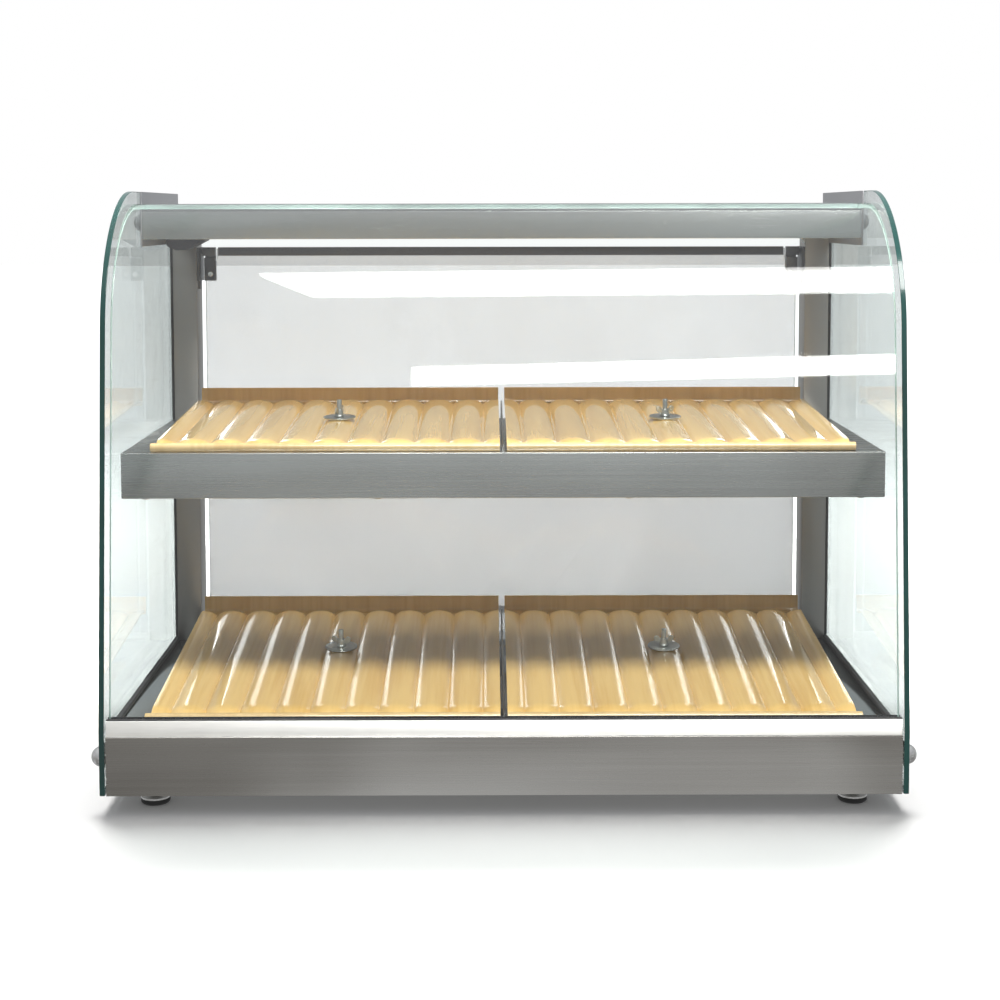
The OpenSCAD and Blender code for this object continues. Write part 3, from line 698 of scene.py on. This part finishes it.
@dataclass
class Shop:
    """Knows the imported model, and dresses what is kept or built."""

    paints: dict[str, bpy.types.Material]
    nodes: dict[str, Piece] = field(default_factory=lambda: frame["nodes"])
    count: int = 0

    def __post_init__(self) -> None:
        """Reads each node's body and material slot from the record."""
        record = frame["record"]
        self.body = {n: b for b, names in record["behaviour"]["bodies"].items() for n in names}
        self.slot = {row["node"]: row["material_slot"] for row in record["subparts"]}
        self.joint = {j["name"]: j for j in frame["joints"]}

    def paint(self, piece: Piece, *names: str) -> Piece:
        """Gives a piece its finishes, in the order of its slots."""
        piece.data.materials.clear()
        for name in names:
            piece.data.materials.append(self.paints[name])
        return piece

    def keep(self, node: str, finish: str) -> Piece:
        """Shows a CAD node as it is, with a finish."""
        self.count += 1
        log.info("kept %s as %s", node, finish)
        return self.paint(self.nodes[node], finish)

    def stand(self, piece: Piece, *nodes: str, extra: bool = False) -> Piece:
        """Shows a piece in place of CAD nodes, or beside the first of them.

        Args:
            piece: the finished piece.
            nodes: the CAD nodes that it stands for.
            extra: True if the nodes stay shown.

        Returns:
            The piece.
        """
        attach(piece, self.body[nodes[0]])
        if not extra:
            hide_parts(*nodes)
        self.count += 1
        log.info("built %s for %s", piece.name, ", ".join(nodes))
        return piece

    def refine(self, node: str, finish: str, width: float, segments: int = 2) -> Piece:
        """Stands a copy with softened edges in for a CAD node.

        Args:
            node: the CAD node.
            finish: its finish.
            width: the edges' rounding, in metres.
            segments: steps of the rounding.

        Returns:
            The new piece.
        """
        source = self.nodes[node]
        piece = bpy.data.objects.new(f"{node}_dressed", source.data.copy())
        bpy.context.scene.collection.objects.link(piece)
        self.paint(piece, finish)
        with Bench.editing(piece):
            bpy.ops.mesh.select_all(action="SELECT")
            bpy.ops.mesh.remove_doubles(threshold=0.000004)
            bpy.ops.mesh.dissolve_limited(angle_limit=math.radians(0.6))
        Bench.soften(piece, width, segments)
        return self.stand(piece, node)


# ---------------------------------------------------------------- the case's pieces


@dataclass
class Cabinet:
    """The steel body: base, deck, rail, posts, shelf and lamp box."""

    shop: Shop
    refined: tuple[tuple[str, str, float, int], ...] = (
        ("base_shell", "fascia_steel", 0.9 * MM, 3),
        ("deck_plate", "deck_steel", 0.3 * MM, 1),
        ("front_rail", "rail_steel", 0.4 * MM, 2),
        ("rear_posts", "post_steel", 0.6 * MM, 2),
        ("shelf_body", "shelf_steel", 0.7 * MM, 3),
        ("lamp_housing", "housing_steel", 0.5 * MM, 2),
        ("end_plates", "satin_aluminium", 0.3 * MM, 2),
        ("post_brackets", "bright_steel", 0.2 * MM, 1),
        ("cable_cover", "navy_moulding", 0.6 * MM, 2),
        ("front_seals", "seal_rubber", 0.4 * MM, 2),
        ("side_seals", "seal_rubber", 0.6 * MM, 2),
        ("tray_dividers", "sheet_steel", 0.2 * MM, 1),
        ("door_stops", "seal_rubber", 0.8 * MM, 2),
    )
    kept: tuple[tuple[str, str], ...] = (
        ("base_floor", "sheet_steel"),
        ("shelf_bottom", "sheet_steel"),
        ("housing_bottom", "sheet_steel"),
        ("lamp_cover", "lamp_pane"),
        ("heating_elements", "heater_oxide"),
        ("heater_clips", "sheet_steel"),
        ("terminal_block", "white_moulding"),
        ("glass_bolts", "zinc_plate"),
        ("glass_spacers", "white_moulding"),
    )
    cap_l: float = 0.012

    def build(self) -> None:
        """Dresses every steel panel and what is inside."""
        for node, finish, width, segments in self.refined:
            self.shop.refine(node, finish, width, segments)
        for node, finish in self.kept:
            self.shop.keep(node, finish)
        self.lamp()

    def lamp(self) -> None:
        """The lamp tube with its metal end caps, and its holders."""
        low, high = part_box("lamp_tube")
        radius = (high.z - low.z) / 2
        middle = (low + high) / 2
        caps = (low.x + self.cap_l, high.x - self.cap_l)
        tube = Bench.rod("lamp_tube_glass", (low.x, middle.y, middle.z), (high.x, middle.y, middle.z), radius)
        with Bench.editing(tube):
            Bench.pick(tube, "faces", lambda c, n: abs(n.x) > 0.9)
            bpy.ops.mesh.inset(thickness=radius * 0.35, use_individual=True)
            for x in caps:
                Bench.cut((x, 0, 0), (1, 0, 0))
        Bench.soften(tube, 0.8 * MM, 3)
        self.shop.paint(tube, "opal_tube", "satin_aluminium")
        for face in tube.data.polygons:
            if not caps[0] < face.center.x < caps[1]:
                face.material_index = 1
        self.shop.stand(tube, "lamp_tube")
        self.shop.refine("lamp_holders", "white_moulding", 0.8 * MM, 3)


@dataclass
class Glazing:
    """The two side glasses and the curved front glass."""

    shop: Shop
    kink: float = 0.092
    lean: float = math.radians(5.5)
    radius: float = 0.170
    inset: float = 0.008
    drop: float = 0.015
    thick: float = 0.006
    arris: float = 0.0006
    steps: int = 64

    def build(self) -> None:
        """Builds the three sheets."""
        for side in ("left", "right"):
            self.side_sheet(side)
        self.front_sheet()

    @staticmethod
    def edge_slots(piece: Piece, flat: Callable[[bpy.types.MeshPolygon], bool]) -> None:
        """Gives the cut edge its own slot."""
        for face in piece.data.polygons:
            face.material_index = 0 if flat(face) else 1

    def side_sheet(self, side: str) -> None:
        """One side glass: a sheet cut to the lean, with its front corner rounded."""
        low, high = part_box(f"side_glass_{side}")
        piece = Bench.block(f"side_glass_{side}_sheet", low, high)
        tangent = self.radius * math.tan((math.pi / 2 - self.lean) / 2)
        with Bench.editing(piece, "EDGE"):
            Bench.cut(
                (0, low.y, self.kink), (0, -math.cos(self.lean), math.sin(self.lean)), use_fill=True,
                clear_outer=True,
            )
            Bench.pick(
                piece, "edges",
                lambda c, d: abs(d.x) > 0.9 and c.z > high.z - NEAR and c.y < (low.y + high.y) / 2,
            )
            bpy.ops.mesh.bevel(offset=tangent, offset_type="OFFSET", segments=self.steps, affect="EDGES")
        Bench.soften(piece, self.arris, 2)
        self.shop.paint(piece, "side_pane", "side_edge")
        self.edge_slots(piece, lambda f: abs(f.normal.x) > 0.98)
        self.shop.stand(piece, f"side_glass_{side}")

    def front_sheet(self) -> None:
        """The front glass: a leaning flat, spun into its curve and drawn on to the lamp box."""
        low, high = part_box("front_glass")
        case_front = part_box("side_glass_left")[0].y
        case_top = high.z + self.drop
        centre_y = case_front + (case_top - self.kink) * math.tan(self.lean) + self.radius * math.tan(
            (math.pi / 2 - self.lean) / 2
        ) - (self.drop - self.inset) / math.cos(self.lean)
        centre_z = case_top - self.radius
        reach = self.radius - self.drop
        start = Vector((0, centre_y - reach * math.cos(self.lean), centre_z + reach * math.sin(self.lean)))
        foot_y = start.y - (start.z - low.z) * math.tan(self.lean)
        piece = Bench.grid(
            "front_glass_sheet", (0, (start.y + foot_y) / 2, (start.z + low.z) / 2),
            (high.x - low.x, math.hypot(start.y - foot_y, start.z - low.z)), math.pi / 2 - self.lean,
            cells=(1, 48),
        )
        with Bench.editing(piece, "EDGE"):
            Bench.pick(piece, "edges", lambda c, d: abs(d.x) > 0.9 and c.z > start.z - NEAR)
            bpy.ops.mesh.spin(
                steps=self.steps, angle=math.pi / 2 - self.lean, center=(0, centre_y, centre_z),
                axis=(1, 0, 0), dupli=False,
            )
            Bench.pick(piece, "edges", lambda c, d: abs(d.x) > 0.9 and c.y > centre_y - NEAR)
            bpy.ops.mesh.extrude_edges_move(
                TRANSFORM_OT_translate={"value": (0, high.y - centre_y, 0)}
            )
        Bench.outward(piece)
        outer = max(piece.data.polygons, key=lambda f: f.center.z)
        if outer.normal.z < 0:
            with Bench.editing(piece):
                bpy.ops.mesh.select_all(action="SELECT")
                bpy.ops.mesh.flip_normals()
        Bench.modify(piece, "SOLIDIFY", thickness=self.thick, offset=-1.0, use_even_offset=True)
        Bench.modify(
            piece, "BEVEL", width=self.arris, segments=2, limit_method="ANGLE", angle_limit=math.radians(50)
        )
        Bench.smooth(piece, 15)
        self.shop.paint(piece, "front_pane", "front_edge")
        ends = (low.x + self.arris * 1.2, high.x - self.arris * 1.2)
        tip, foot = high.y - self.arris * 1.2, low.z + self.arris * 1.5
        self.edge_slots(
            piece, lambda f: ends[0] < f.center.x < ends[1] and f.center.y < tip and f.center.z > foot
        )
        self.shop.stand(piece, "front_glass")


@dataclass
class TraySet:
    """Four corrugated trays, each with its stud, washer and wing nut."""

    shop: Shop
    width: float = 0.400
    pitch: float = 0.040
    peak: float = 0.0056
    drop: float = 0.0095
    reach: float = 0.0215
    sheet: float = 0.0016
    wall: float = 0.018
    fillet: float = 0.006
    lip: float = 0.0052
    roll_deep: float = 0.012
    ear_r: float = 3.6 * MM

    def build(self) -> None:
        """Builds the trays and what fixes them."""
        self.shop.refine("tray_studs", "zinc_plate", 0.3 * MM, 2)
        for number, (level, side) in enumerate((l, s) for l in ("lower", "upper") for s in ("left", "right")):
            self.tray(f"{level}_{side}", "tray_enamel_a" if number % 3 else "tray_enamel_b")
            self.shop.refine(f"washer_{level}_{side}", "zinc_plate", 0.35 * MM, 3)
            self.wing_nut(f"{level}_{side}")

    def tray(self, tag: str, enamel: str) -> None:
        """One tray: a ridged floor with a rear wall, and a rolled front lip."""
        low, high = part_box(f"tray_{tag}")
        joint = self.shop.joint[f"{tag}_rise"]
        spin = self.shop.joint[f"{tag}_spin"]
        slope = math.asin(-joint["axis"][1])
        stud = Vector(spin["pos_m"])
        front = low.y + self.lip
        length = (high.y - self.sheet - front) / math.cos(slope)
        origin = Vector((stud.x, front, stud.z - (stud.y - front) * math.tan(slope)))
        matrix = Matrix.Translation(origin) @ Matrix.Rotation(slope, 4, "X")
        floor = self.ridged_floor(f"tray_{tag}_sheet", length, slope)
        Bench.posed(floor, matrix)
        self.shop.paint(floor, enamel)
        self.shop.stand(floor, f"tray_{tag}")
        self.lip_roll(tag, low, high, front)

    def ridged_floor(self, name: str, length: float, slope: float) -> Piece:
        """The floor and rear wall, with the front edge at the origin and +Y to the back."""
        base = self.peak - self.drop
        first = -self.width / 2
        piece = Bench.grid(name, (first, length / 2, base), (self.pitch, length), cells=(18, 84))
        with Bench.editing(piece, "VERT"):
            Bench.pick(
                piece, "verts",
                lambda c, n: abs(c.x - first) < NEAR and self.reach * 0.9 < c.y < length - self.reach * 1.25,
            )
            bpy.ops.transform.translate(
                value=(0, 0, self.drop), use_proportional_edit=True, proportional_edit_falloff="SPHERE",
                proportional_size=self.reach,
            )
        ridges = round(self.width / self.pitch) + 1
        Bench.modify(
            piece, "ARRAY", count=ridges, use_relative_offset=False, use_constant_offset=True,
            constant_offset_displace=(self.pitch, 0, 0), use_merge_vertices=True, merge_threshold=0.00002,
        )
        with Bench.editing(piece, "EDGE"):
            for sign in (-1, 1):
                Bench.cut((sign * self.width / 2, 0, 0), (sign, 0, 0), clear_outer=True)
            rise = self.wall - base
            Bench.pick(piece, "edges", lambda c, d: c.y > length - NEAR and abs(d.x) > 0.9)
            bpy.ops.mesh.extrude_edges_move(
                TRANSFORM_OT_translate={"value": (0, rise * math.sin(slope), rise * math.cos(slope))}
            )
            Bench.pick(
                piece, "edges", lambda c, d: length - NEAR < c.y < length + NEAR and c.z < base + NEAR
                and abs(d.x) > 0.9,
            )
            bpy.ops.mesh.bevel(offset=self.fillet, segments=6, affect="EDGES")
        Bench.modify(piece, "SOLIDIFY", thickness=self.sheet, offset=-1.0)
        return Bench.smooth(piece, 60)

    def lip_roll(self, tag: str, low: Vector, high: Vector, front: float) -> None:
        """The rolled front lip, open at its ends like rolled sheet."""
        radius = self.lip
        lip = Bench.rod(
            f"tray_{tag}_lip", (low.x, front, low.z + radius), (high.x, front, low.z + radius), radius
        )
        with Bench.editing(lip):
            Bench.pick(lip, "faces", lambda c, n: abs(n.x) > 0.9)
            bpy.ops.mesh.inset(thickness=self.sheet, use_individual=True)
            bpy.ops.mesh.extrude_region_shrink_fatten(TRANSFORM_OT_shrink_fatten={"value": -self.roll_deep})
        Bench.soften(lip, 0.4 * MM, 3, 50)
        self.shop.paint(lip, "lip_enamel")
        self.shop.stand(lip, f"tray_{tag}", extra=True)

    def wing_nut(self, tag: str) -> None:
        """A pressed wing nut: collar, tapered hub and two ears blended into it."""
        node = f"wing_nut_{tag}"
        joint = self.shop.joint[f"{tag}_spin"]
        axis, point = Vector(joint["axis"]), Vector(joint["pos_m"])
        corners = [v.co - point for v in self.shop.nodes[node].data.vertices]
        heights = [c.dot(axis) for c in corners]
        low, high = min(heights), max(heights)
        out = max((c - axis * c.dot(axis) for c in corners), key=lambda c: c.length)
        reach = out.length
        across = out.normalized()
        up = high - low
        hub_top = up * 0.72
        hub = Bench.rod(f"{node}_cast", (0, 0, 0), (0, 0, hub_top), 5.9 * MM, 4.4 * MM)
        collar = Bench.rod("collar", (0, 0, 0), (0, 0, 1.6 * MM), 6.2 * MM)
        parts = [hub, collar]
        for sign in (-1, 1):
            ear_x, ear_z = sign * (reach - self.ear_r), up - self.ear_r
            ear = Bench.rod("ear", (ear_x, -1.1 * MM, ear_z), (ear_x, 1.1 * MM, ear_z), self.ear_r, sides=32)
            web_x = sign * (reach - self.ear_r * 0.9)
            web = Bench.block("web", (0, -1.15 * MM, 0.8 * MM), (web_x, 1.15 * MM, up * 0.62))
            with Bench.editing(web, "VERT"):
                Bench.pick(web, "verts", lambda c, n: abs(c.x) > reach * 0.4)
                bpy.ops.transform.translate(value=(sign * 1.0 * MM, 0, up * 0.27))
                bpy.ops.transform.resize(
                    value=(1, 1, 0.75), center_override=(0, 0, up * 0.62)
                )
            parts += [ear, web]
        piece = Bench.join(hub.name, *parts)
        Bench.modify(piece, "REMESH", mode="VOXEL", voxel_size=0.34 * MM)
        Bench.modify(piece, "SMOOTH", factor=0.6, iterations=6)
        bore = Bench.rod("bore", (0, 0, -MM), (0, 0, up), 3.05 * MM, sides=32)
        Bench.modify(piece, "BOOLEAN", operation="DIFFERENCE", object=bore, solver="EXACT")
        bpy.data.objects.remove(bore)
        Bench.smooth(piece, 50)
        side = axis.cross(across)
        turn = Matrix((across, side, axis)).transposed().to_4x4()
        Bench.posed(piece, Matrix.Translation(point + axis * low) @ turn)
        self.shop.paint(piece, "zinc_plate")
        self.shop.stand(piece, node)


@dataclass
class Door:
    """The lift-up pane with its trim, hinges and handle."""

    shop: Shop
    arris: float = 0.0005

    def build(self) -> None:
        """Builds the door."""
        pane = self.shop.refine("door_pane", "door_film", self.arris, 2)
        pane.data.materials.append(self.shop.paints["door_edge"])
        for face in pane.data.polygons:
            if abs(face.normal.y) < 0.98:
                face.material_index = 1
        self.shop.refine("door_trim", "dark_zinc", 0.5 * MM, 2)
        self.shop.refine("hinge_leaves", "dark_zinc", 0.5 * MM, 2)
        self.shop.refine("hinge_clamps", "dark_zinc", 0.6 * MM, 2)
        self.shop.refine("door_screws", "bright_steel", 0.4 * MM, 3)
        self.shop.refine("door_handle", "bright_steel", 1.2 * MM, 4)


@dataclass
class Controls:
    """The knob, dial, switches, pilot lamp and inlet on the back of the base."""

    shop: Shop
    flutes: int = 24

    def build(self) -> None:
        """Builds the controls."""
        self.shop.refine("thermostat_body", "satin_aluminium", 0.5 * MM, 2)
        self.shop.refine("thermostat_spindle", "bright_steel", 0.3 * MM, 2)
        self.shop.refine("dial_plate", "black_moulding", 0.25 * MM, 2)
        self.shop.refine("switch_frames", "black_moulding", 0.6 * MM, 3)
        self.shop.refine("mains_inlet", "black_moulding", 0.5 * MM, 2)
        self.shop.refine("power_rocker", "green_lens", 0.7 * MM, 3)
        self.shop.refine("light_rocker", "knob_moulding", 0.7 * MM, 3)
        self.knob()
        self.dial_marks()
        self.pilot()

    def knob(self) -> None:
        """The fluted knob with its grip bar and white pointer."""
        low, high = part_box("thermostat_knob")
        joint = self.shop.joint["thermostat_turn"]
        x, z = joint["pos_m"][0], joint["pos_m"][2]
        radius = (high.x - low.x) / 2
        skirt = low.y + 5 * MM
        knob = Bench.rod("knob_fluted", (x, low.y, z), (x, skirt, z), radius, radius - 0.6 * MM, sides=96)
        crown = Bench.rod(
            "crown", (x, skirt, z), (x, high.y - 0.4 * MM, z), radius - 2.2 * MM, radius - 4 * MM,
            sides=self.flutes * 4,
        )
        with Bench.editing(crown):
            step = 2 * math.pi / self.flutes

            def groove(c: Vector, n: Vector) -> bool:
                """True for one face in four round the crown."""
                turn = math.atan2(c.z - z, c.x - x) % step
                return abs(n.y) < 0.6 and turn < step / 4

            Bench.pick(crown, "faces", groove)
            bpy.ops.mesh.inset(thickness=0.15 * MM, depth=-0.7 * MM, use_individual=True)
            Bench.pick(crown, "faces", lambda c, n: n.y > 0.9)
            bpy.ops.mesh.inset(thickness=1.4 * MM, depth=-0.6 * MM)
        grip = radius - MM
        bar = Bench.block("bar", (x - 3 * MM, low.y + MM, z - grip), (x + 3 * MM, high.y, z + grip))
        with Bench.editing(bar):
            Bench.pick(bar, "faces", lambda c, n: n.y > 0.9)
            bpy.ops.transform.resize(value=(0.7, 1, 0.92), center_override=(x, high.y, z))
        for part in (knob, crown, bar):
            Bench.soften(part, 0.4 * MM, 3, 45)
        piece = Bench.join("knob_fluted", knob, crown, bar)
        self.shop.paint(piece, "knob_moulding")
        self.shop.stand(piece, "thermostat_knob")
        line = Bench.block(
            "knob_pointer", (x - 0.7 * MM, high.y - 0.6 * MM, z + 2 * MM),
            (x + 0.7 * MM, high.y, z + radius * 0.86),
        )
        Bench.soften(line, 0.15 * MM, 1)
        self.shop.paint(line, "mark_paint")
        self.shop.stand(line, "thermostat_knob", extra=True)

    def dial_marks(self) -> None:
        """The ring of strokes on the dial plate."""
        low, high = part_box("dial_plate")
        centre = (low + high) / 2
        radius = (high.x - low.x) / 2
        strokes = []
        for number in range(10):
            angle = math.radians(-225 + 30 * number)
            stroke = Bench.block(
                "stroke", (radius * 0.80, -0.25 * MM, -0.35 * MM), (radius * 0.93, 0, 0.35 * MM)
            )
            place = Matrix.Translation((centre.x, high.y, centre.z))
            Bench.posed(stroke, place @ Matrix.Rotation(angle, 4, "Y"))
            strokes.append(stroke)
        ring = Bench.join("dial_strokes", *strokes)
        Bench.soften(ring, 0.06 * MM, 1)
        self.shop.paint(ring, "mark_paint")
        self.shop.stand(ring, "dial_plate", extra=True)

    def pilot(self) -> None:
        """The pilot lamp: a stepped lens with rings."""
        low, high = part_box("pilot_lamp")
        x, z = (low.x + high.x) / 2, (low.z + high.z) / 2
        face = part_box("dial_plate")[0].y
        radius = (high.x - low.x) / 2
        body = Bench.rod("pilot_lens", (x, low.y, z), (x, face, z), radius * 0.7)
        lens = Bench.rod("lens", (x, face, z), (x, high.y, z), radius)
        with Bench.editing(lens):
            for share in (0.22, 0.26, 0.3):
                Bench.pick(lens, "faces", lambda c, n: n.y > 0.9 and math.hypot(c.x - x, c.z - z) < 1e-4)
                bpy.ops.mesh.inset(thickness=radius * share, depth=-0.35 * MM)
        for part in (body, lens):
            Bench.soften(part, 0.3 * MM, 3)
        piece = Bench.join("pilot_lens", body, lens)
        self.shop.paint(piece, "amber_lens")
        self.shop.stand(piece, "pilot_lamp")


@dataclass
class Fixings:
    """Dome nuts and washers of the side glasses, rivets and feet."""

    shop: Shop
    apart: float = 0.03

    def build(self) -> None:
        """Builds the fixings."""
        self.shop.refine("cap_washers", "bright_steel", 0.3 * MM, 2)
        self.shop.refine("case_rivets", "bright_steel", 0.9 * MM, 3)
        self.shop.refine("foot_discs", "bright_steel", 0.5 * MM, 2)
        self.shop.refine("foot_pads", "foot_rubber", 0.4 * MM, 2)
        self.dome_nuts()

    def dome_nuts(self) -> None:
        """Eight polished dome nuts, turned from a ball."""
        points = [v.co for v in self.shop.nodes["cap_nuts"].data.vertices]
        seats = []
        for side in (-1, 1):
            for p in (p for p in points if p.x * side > 0):
                if all(math.hypot(p.y - s[1], p.z - s[2]) > self.apart for s in seats if s[0] == side):
                    seats.append((side, p.y, p.z))
        domes = []
        for side, y, z in seats:
            group = [p for p in points if p.x * side > 0 and math.hypot(p.y - y, p.z - z) < self.apart]
            cy = (min(p.y for p in group) + max(p.y for p in group)) / 2
            cz = (min(p.z for p in group) + max(p.z for p in group)) / 2
            foot = min(abs(p.x) for p in group)
            tip = max(abs(p.x) for p in group)
            rim = (max(p.y for p in group) - min(p.y for p in group)) / 2
            height = tip - foot
            ball = (rim * rim + height * height) / (2 * height)
            bpy.ops.object.select_all(action="DESELECT")
            bpy.ops.mesh.primitive_uv_sphere_add(
                segments=48, ring_count=32, radius=ball, location=(side * (tip - ball), cy, cz),
                rotation=(0, math.pi / 2, 0),
            )
            dome = Bench.settle(Bench.added("dome"))
            with Bench.editing(dome):
                Bench.cut((side * foot, 0, 0), (side, 0, 0), use_fill=True, clear_inner=True)
            domes.append(dome)
        piece = Bench.join("cap_nut_domes", *domes)
        Bench.smooth(piece, 50)
        self.shop.paint(piece, "bright_steel")
        self.shop.stand(piece, "cap_nuts")


# ---------------------------------------------------------------- studio


@dataclass
class Studio:
    """Floor, lights, world and camera."""

    paints: dict[str, bpy.types.Material]
    eye: Point = (-0.0165, -2.1301, 0.6676)
    yaw: float = math.radians(0.22)
    pitch: float = math.radians(4.208)
    roll: float = math.radians(0.096)
    lens: float = 62.194
    shift: tuple[float, float] = (0.0045, -0.160)

    def build(self) -> None:
        """Sets the stage."""
        floor = self.floor()
        self.sky()
        key = self.light("key_softbox", (0.15, -1.15, 2.45), (0, -0.05, 0.3), (1.3, 0.5), 104.0, glossy=False)
        self.link(key, "EXCLUDE", floor)
        self.light("top_softbox", (0.0, 0.95, 2.4), (0, -0.1, 0), (2.6, 0.9), 190.0, glossy=False)
        self.light("window_card", (0.30, -1.75, 2.35), (0, 0, 0.1), (1.7, 1.0), 70.0, diffuse=False)
        strip = self.light("low_strip", (0.87, -3.1, 0.795), (0.1, 0, 0.5), (2.3, 0.055), 6.0, diffuse=False)
        self.link(strip, "INCLUDE", *self.pieces("front_pane"))
        card = self.light("rail_card", (0.0, -2.3, 0.35), (0, -0.25, 0.1), (3.2, 0.6), 40.0, diffuse=False)
        self.link(card, "INCLUDE", *self.pieces("rail_steel"))
        for side in (-1, 1):
            rim = self.light(
                f"rim_strip_{side}", (side * 0.9, 2.2, 1.0), (0, 0, 0.3), (0.22, 1.3), 8.0, diffuse=False
            )
            self.link(rim, "INCLUDE", *self.pieces("tray_enamel"), *self.pieces("zinc_plate"))
        self.camera()
        view = bpy.context.scene.view_settings
        view.view_transform = "Standard"
        view.look = "None"
        bpy.context.scene.cycles.transparent_max_bounces = 24

    def floor(self) -> Piece:
        """A wide pale floor, which shining steel doesn't mirror."""
        bpy.ops.object.select_all(action="DESELECT")
        bpy.ops.mesh.primitive_plane_add(size=40)
        plane = Bench.settle(Bench.added("studio_floor_plane"))
        plane.data.materials.append(self.paints["studio_floor"])
        plane.visible_glossy = False
        plane.visible_diffuse = False
        return plane

    @staticmethod
    def pieces(paint: str) -> list[Piece]:
        """The pieces that carry a finish whose name starts so."""
        return [
            o for o in bpy.data.objects
            if o.type == "MESH" and any(m and m.name.startswith(paint) for m in o.data.materials)
        ]

    def link(self, lamp: Piece, state: str, *pieces: Piece) -> None:
        """Flags a lamp.

        Args:
            lamp: the lamp.
            state: EXCLUDE keeps its light off the pieces, INCLUDE keeps it on them.
            pieces: the pieces.
        """
        flagged = bpy.data.collections.new(f"{lamp.name}_flag")
        for number, piece in enumerate(pieces):
            flagged.objects.link(piece)
            flagged.collection_objects[number].light_linking.link_state = state
        lamp.light_linking.receiver_collection = flagged

    def sky(self) -> None:
        """White to the camera; to the steel, a room that is bright above and grey below."""
        world = bpy.data.worlds.new("studio")
        bpy.context.scene.world = world
        world.use_nodes = True
        r = Recipe("studio", world.node_tree)
        way = r.node("ShaderNodeTexCoord", output="Generated")
        height = r.node("ShaderNodeSeparateXYZ", inputs={0: way}, output=2)
        room = r.ramp(
            height * 0.5 + 0.5,
            (0.0, (0.20, 0.195, 0.19)), (0.40, (0.31, 0.305, 0.30)), (0.52, (0.44, 0.44, 0.44)),
            (0.70, (0.46, 0.47, 0.48)), (1.0, (0.85, 0.86, 0.88)),
        )
        behind = r.node("ShaderNodeSeparateXYZ", inputs={0: way}, output=1)
        room = r.mix(behind.span(0.1, 0.9, 0.0, 0.5), room, (0.50, 0.52, 0.54))
        patch = r.node(
            "ShaderNodeTexNoise", inputs={"Vector": way, "Scale": 2.6, "Detail": 1.0, "Roughness": 0.5}
        )
        room = r.mix(patch.span(0.46, 0.70), room, (0.55, 0.56, 0.57))
        inside = r.node("ShaderNodeBackground", inputs={"Color": room, "Strength": 1.0})
        dim = r.node("ShaderNodeBackground", inputs={"Color": room, "Strength": 0.6})
        outside = r.node("ShaderNodeBackground", inputs={"Color": (1, 1, 1), "Strength": 1.0})
        seen = r.node("ShaderNodeLightPath", output="Is Camera Ray")
        matt = r.node("ShaderNodeLightPath", output="Is Diffuse Ray")
        lit = r.shader_mix(matt, inside, dim)
        r.node("ShaderNodeOutputWorld", inputs={0: r.shader_mix(seen, lit, outside)})

    def light(
        self, name: str, place: Point, aim: Point, size: tuple[float, float], power: float,
        diffuse: bool = True, glossy: bool = True,
    ) -> Piece:
        """Hangs one rectangular light.

        Args:
            name: the light's name.
            place: its middle.
            aim: the point that it faces.
            size: its width and height.
            power: its power in watts.
            diffuse: False if matt surfaces don't take its light.
            glossy: False if nothing mirrors it.

        Returns:
            The light.
        """
        data = bpy.data.lights.new(name, "AREA")
        data.shape = "RECTANGLE"
        data.size, data.size_y = size
        data.energy = power
        data.color = (1.0, 0.99, 0.97)
        lamp = bpy.data.objects.new(name, data)
        lamp.visible_camera, lamp.visible_diffuse, lamp.visible_glossy = False, diffuse, glossy
        lamp.location = place
        lamp.rotation_euler = (Vector(aim) - Vector(place)).to_track_quat("-Z", "Y").to_euler()
        bpy.context.scene.collection.objects.link(lamp)
        return lamp

    def camera(self) -> None:
        """The camera, level with the lamp box and a little to the left."""
        ahead = Vector((
            math.sin(self.yaw) * math.cos(self.pitch), math.cos(self.yaw) * math.cos(self.pitch),
            -math.sin(self.pitch),
        ))
        level = Vector((math.cos(self.yaw), -math.sin(self.yaw), 0))
        upright = level.cross(ahead)
        right = level * math.cos(self.roll) - upright * math.sin(self.roll)
        up = level * math.sin(self.roll) + upright * math.cos(self.roll)
        data = bpy.data.cameras.new("camera")
        data.lens = self.lens
        data.sensor_width = 36
        data.shift_x, data.shift_y = self.shift
        made = bpy.data.objects.new("camera", data)
        made.matrix_world = Matrix.Translation(self.eye) @ Matrix((right, up, -ahead)).transposed().to_4x4()
        bpy.context.scene.collection.objects.link(made)
        bpy.context.scene.camera = made


def main() -> None:
    """Builds the case's looks and the studio."""
    logging.basicConfig(level=logging.INFO, format="%(name)s: %(message)s")
    paints = finishes()
    shop = Shop(paints)
    for part in (Cabinet(shop), Glazing(shop), TraySet(shop), Door(shop), Controls(shop), Fixings(shop)):
        log.info("== %s", type(part).__name__)
        part.build()
    Studio(paints).build()
    bpy.ops.object.select_all(action="DESELECT")
    log.info("%d pieces", shop.count)


if __name__ == "__main__":
    main()
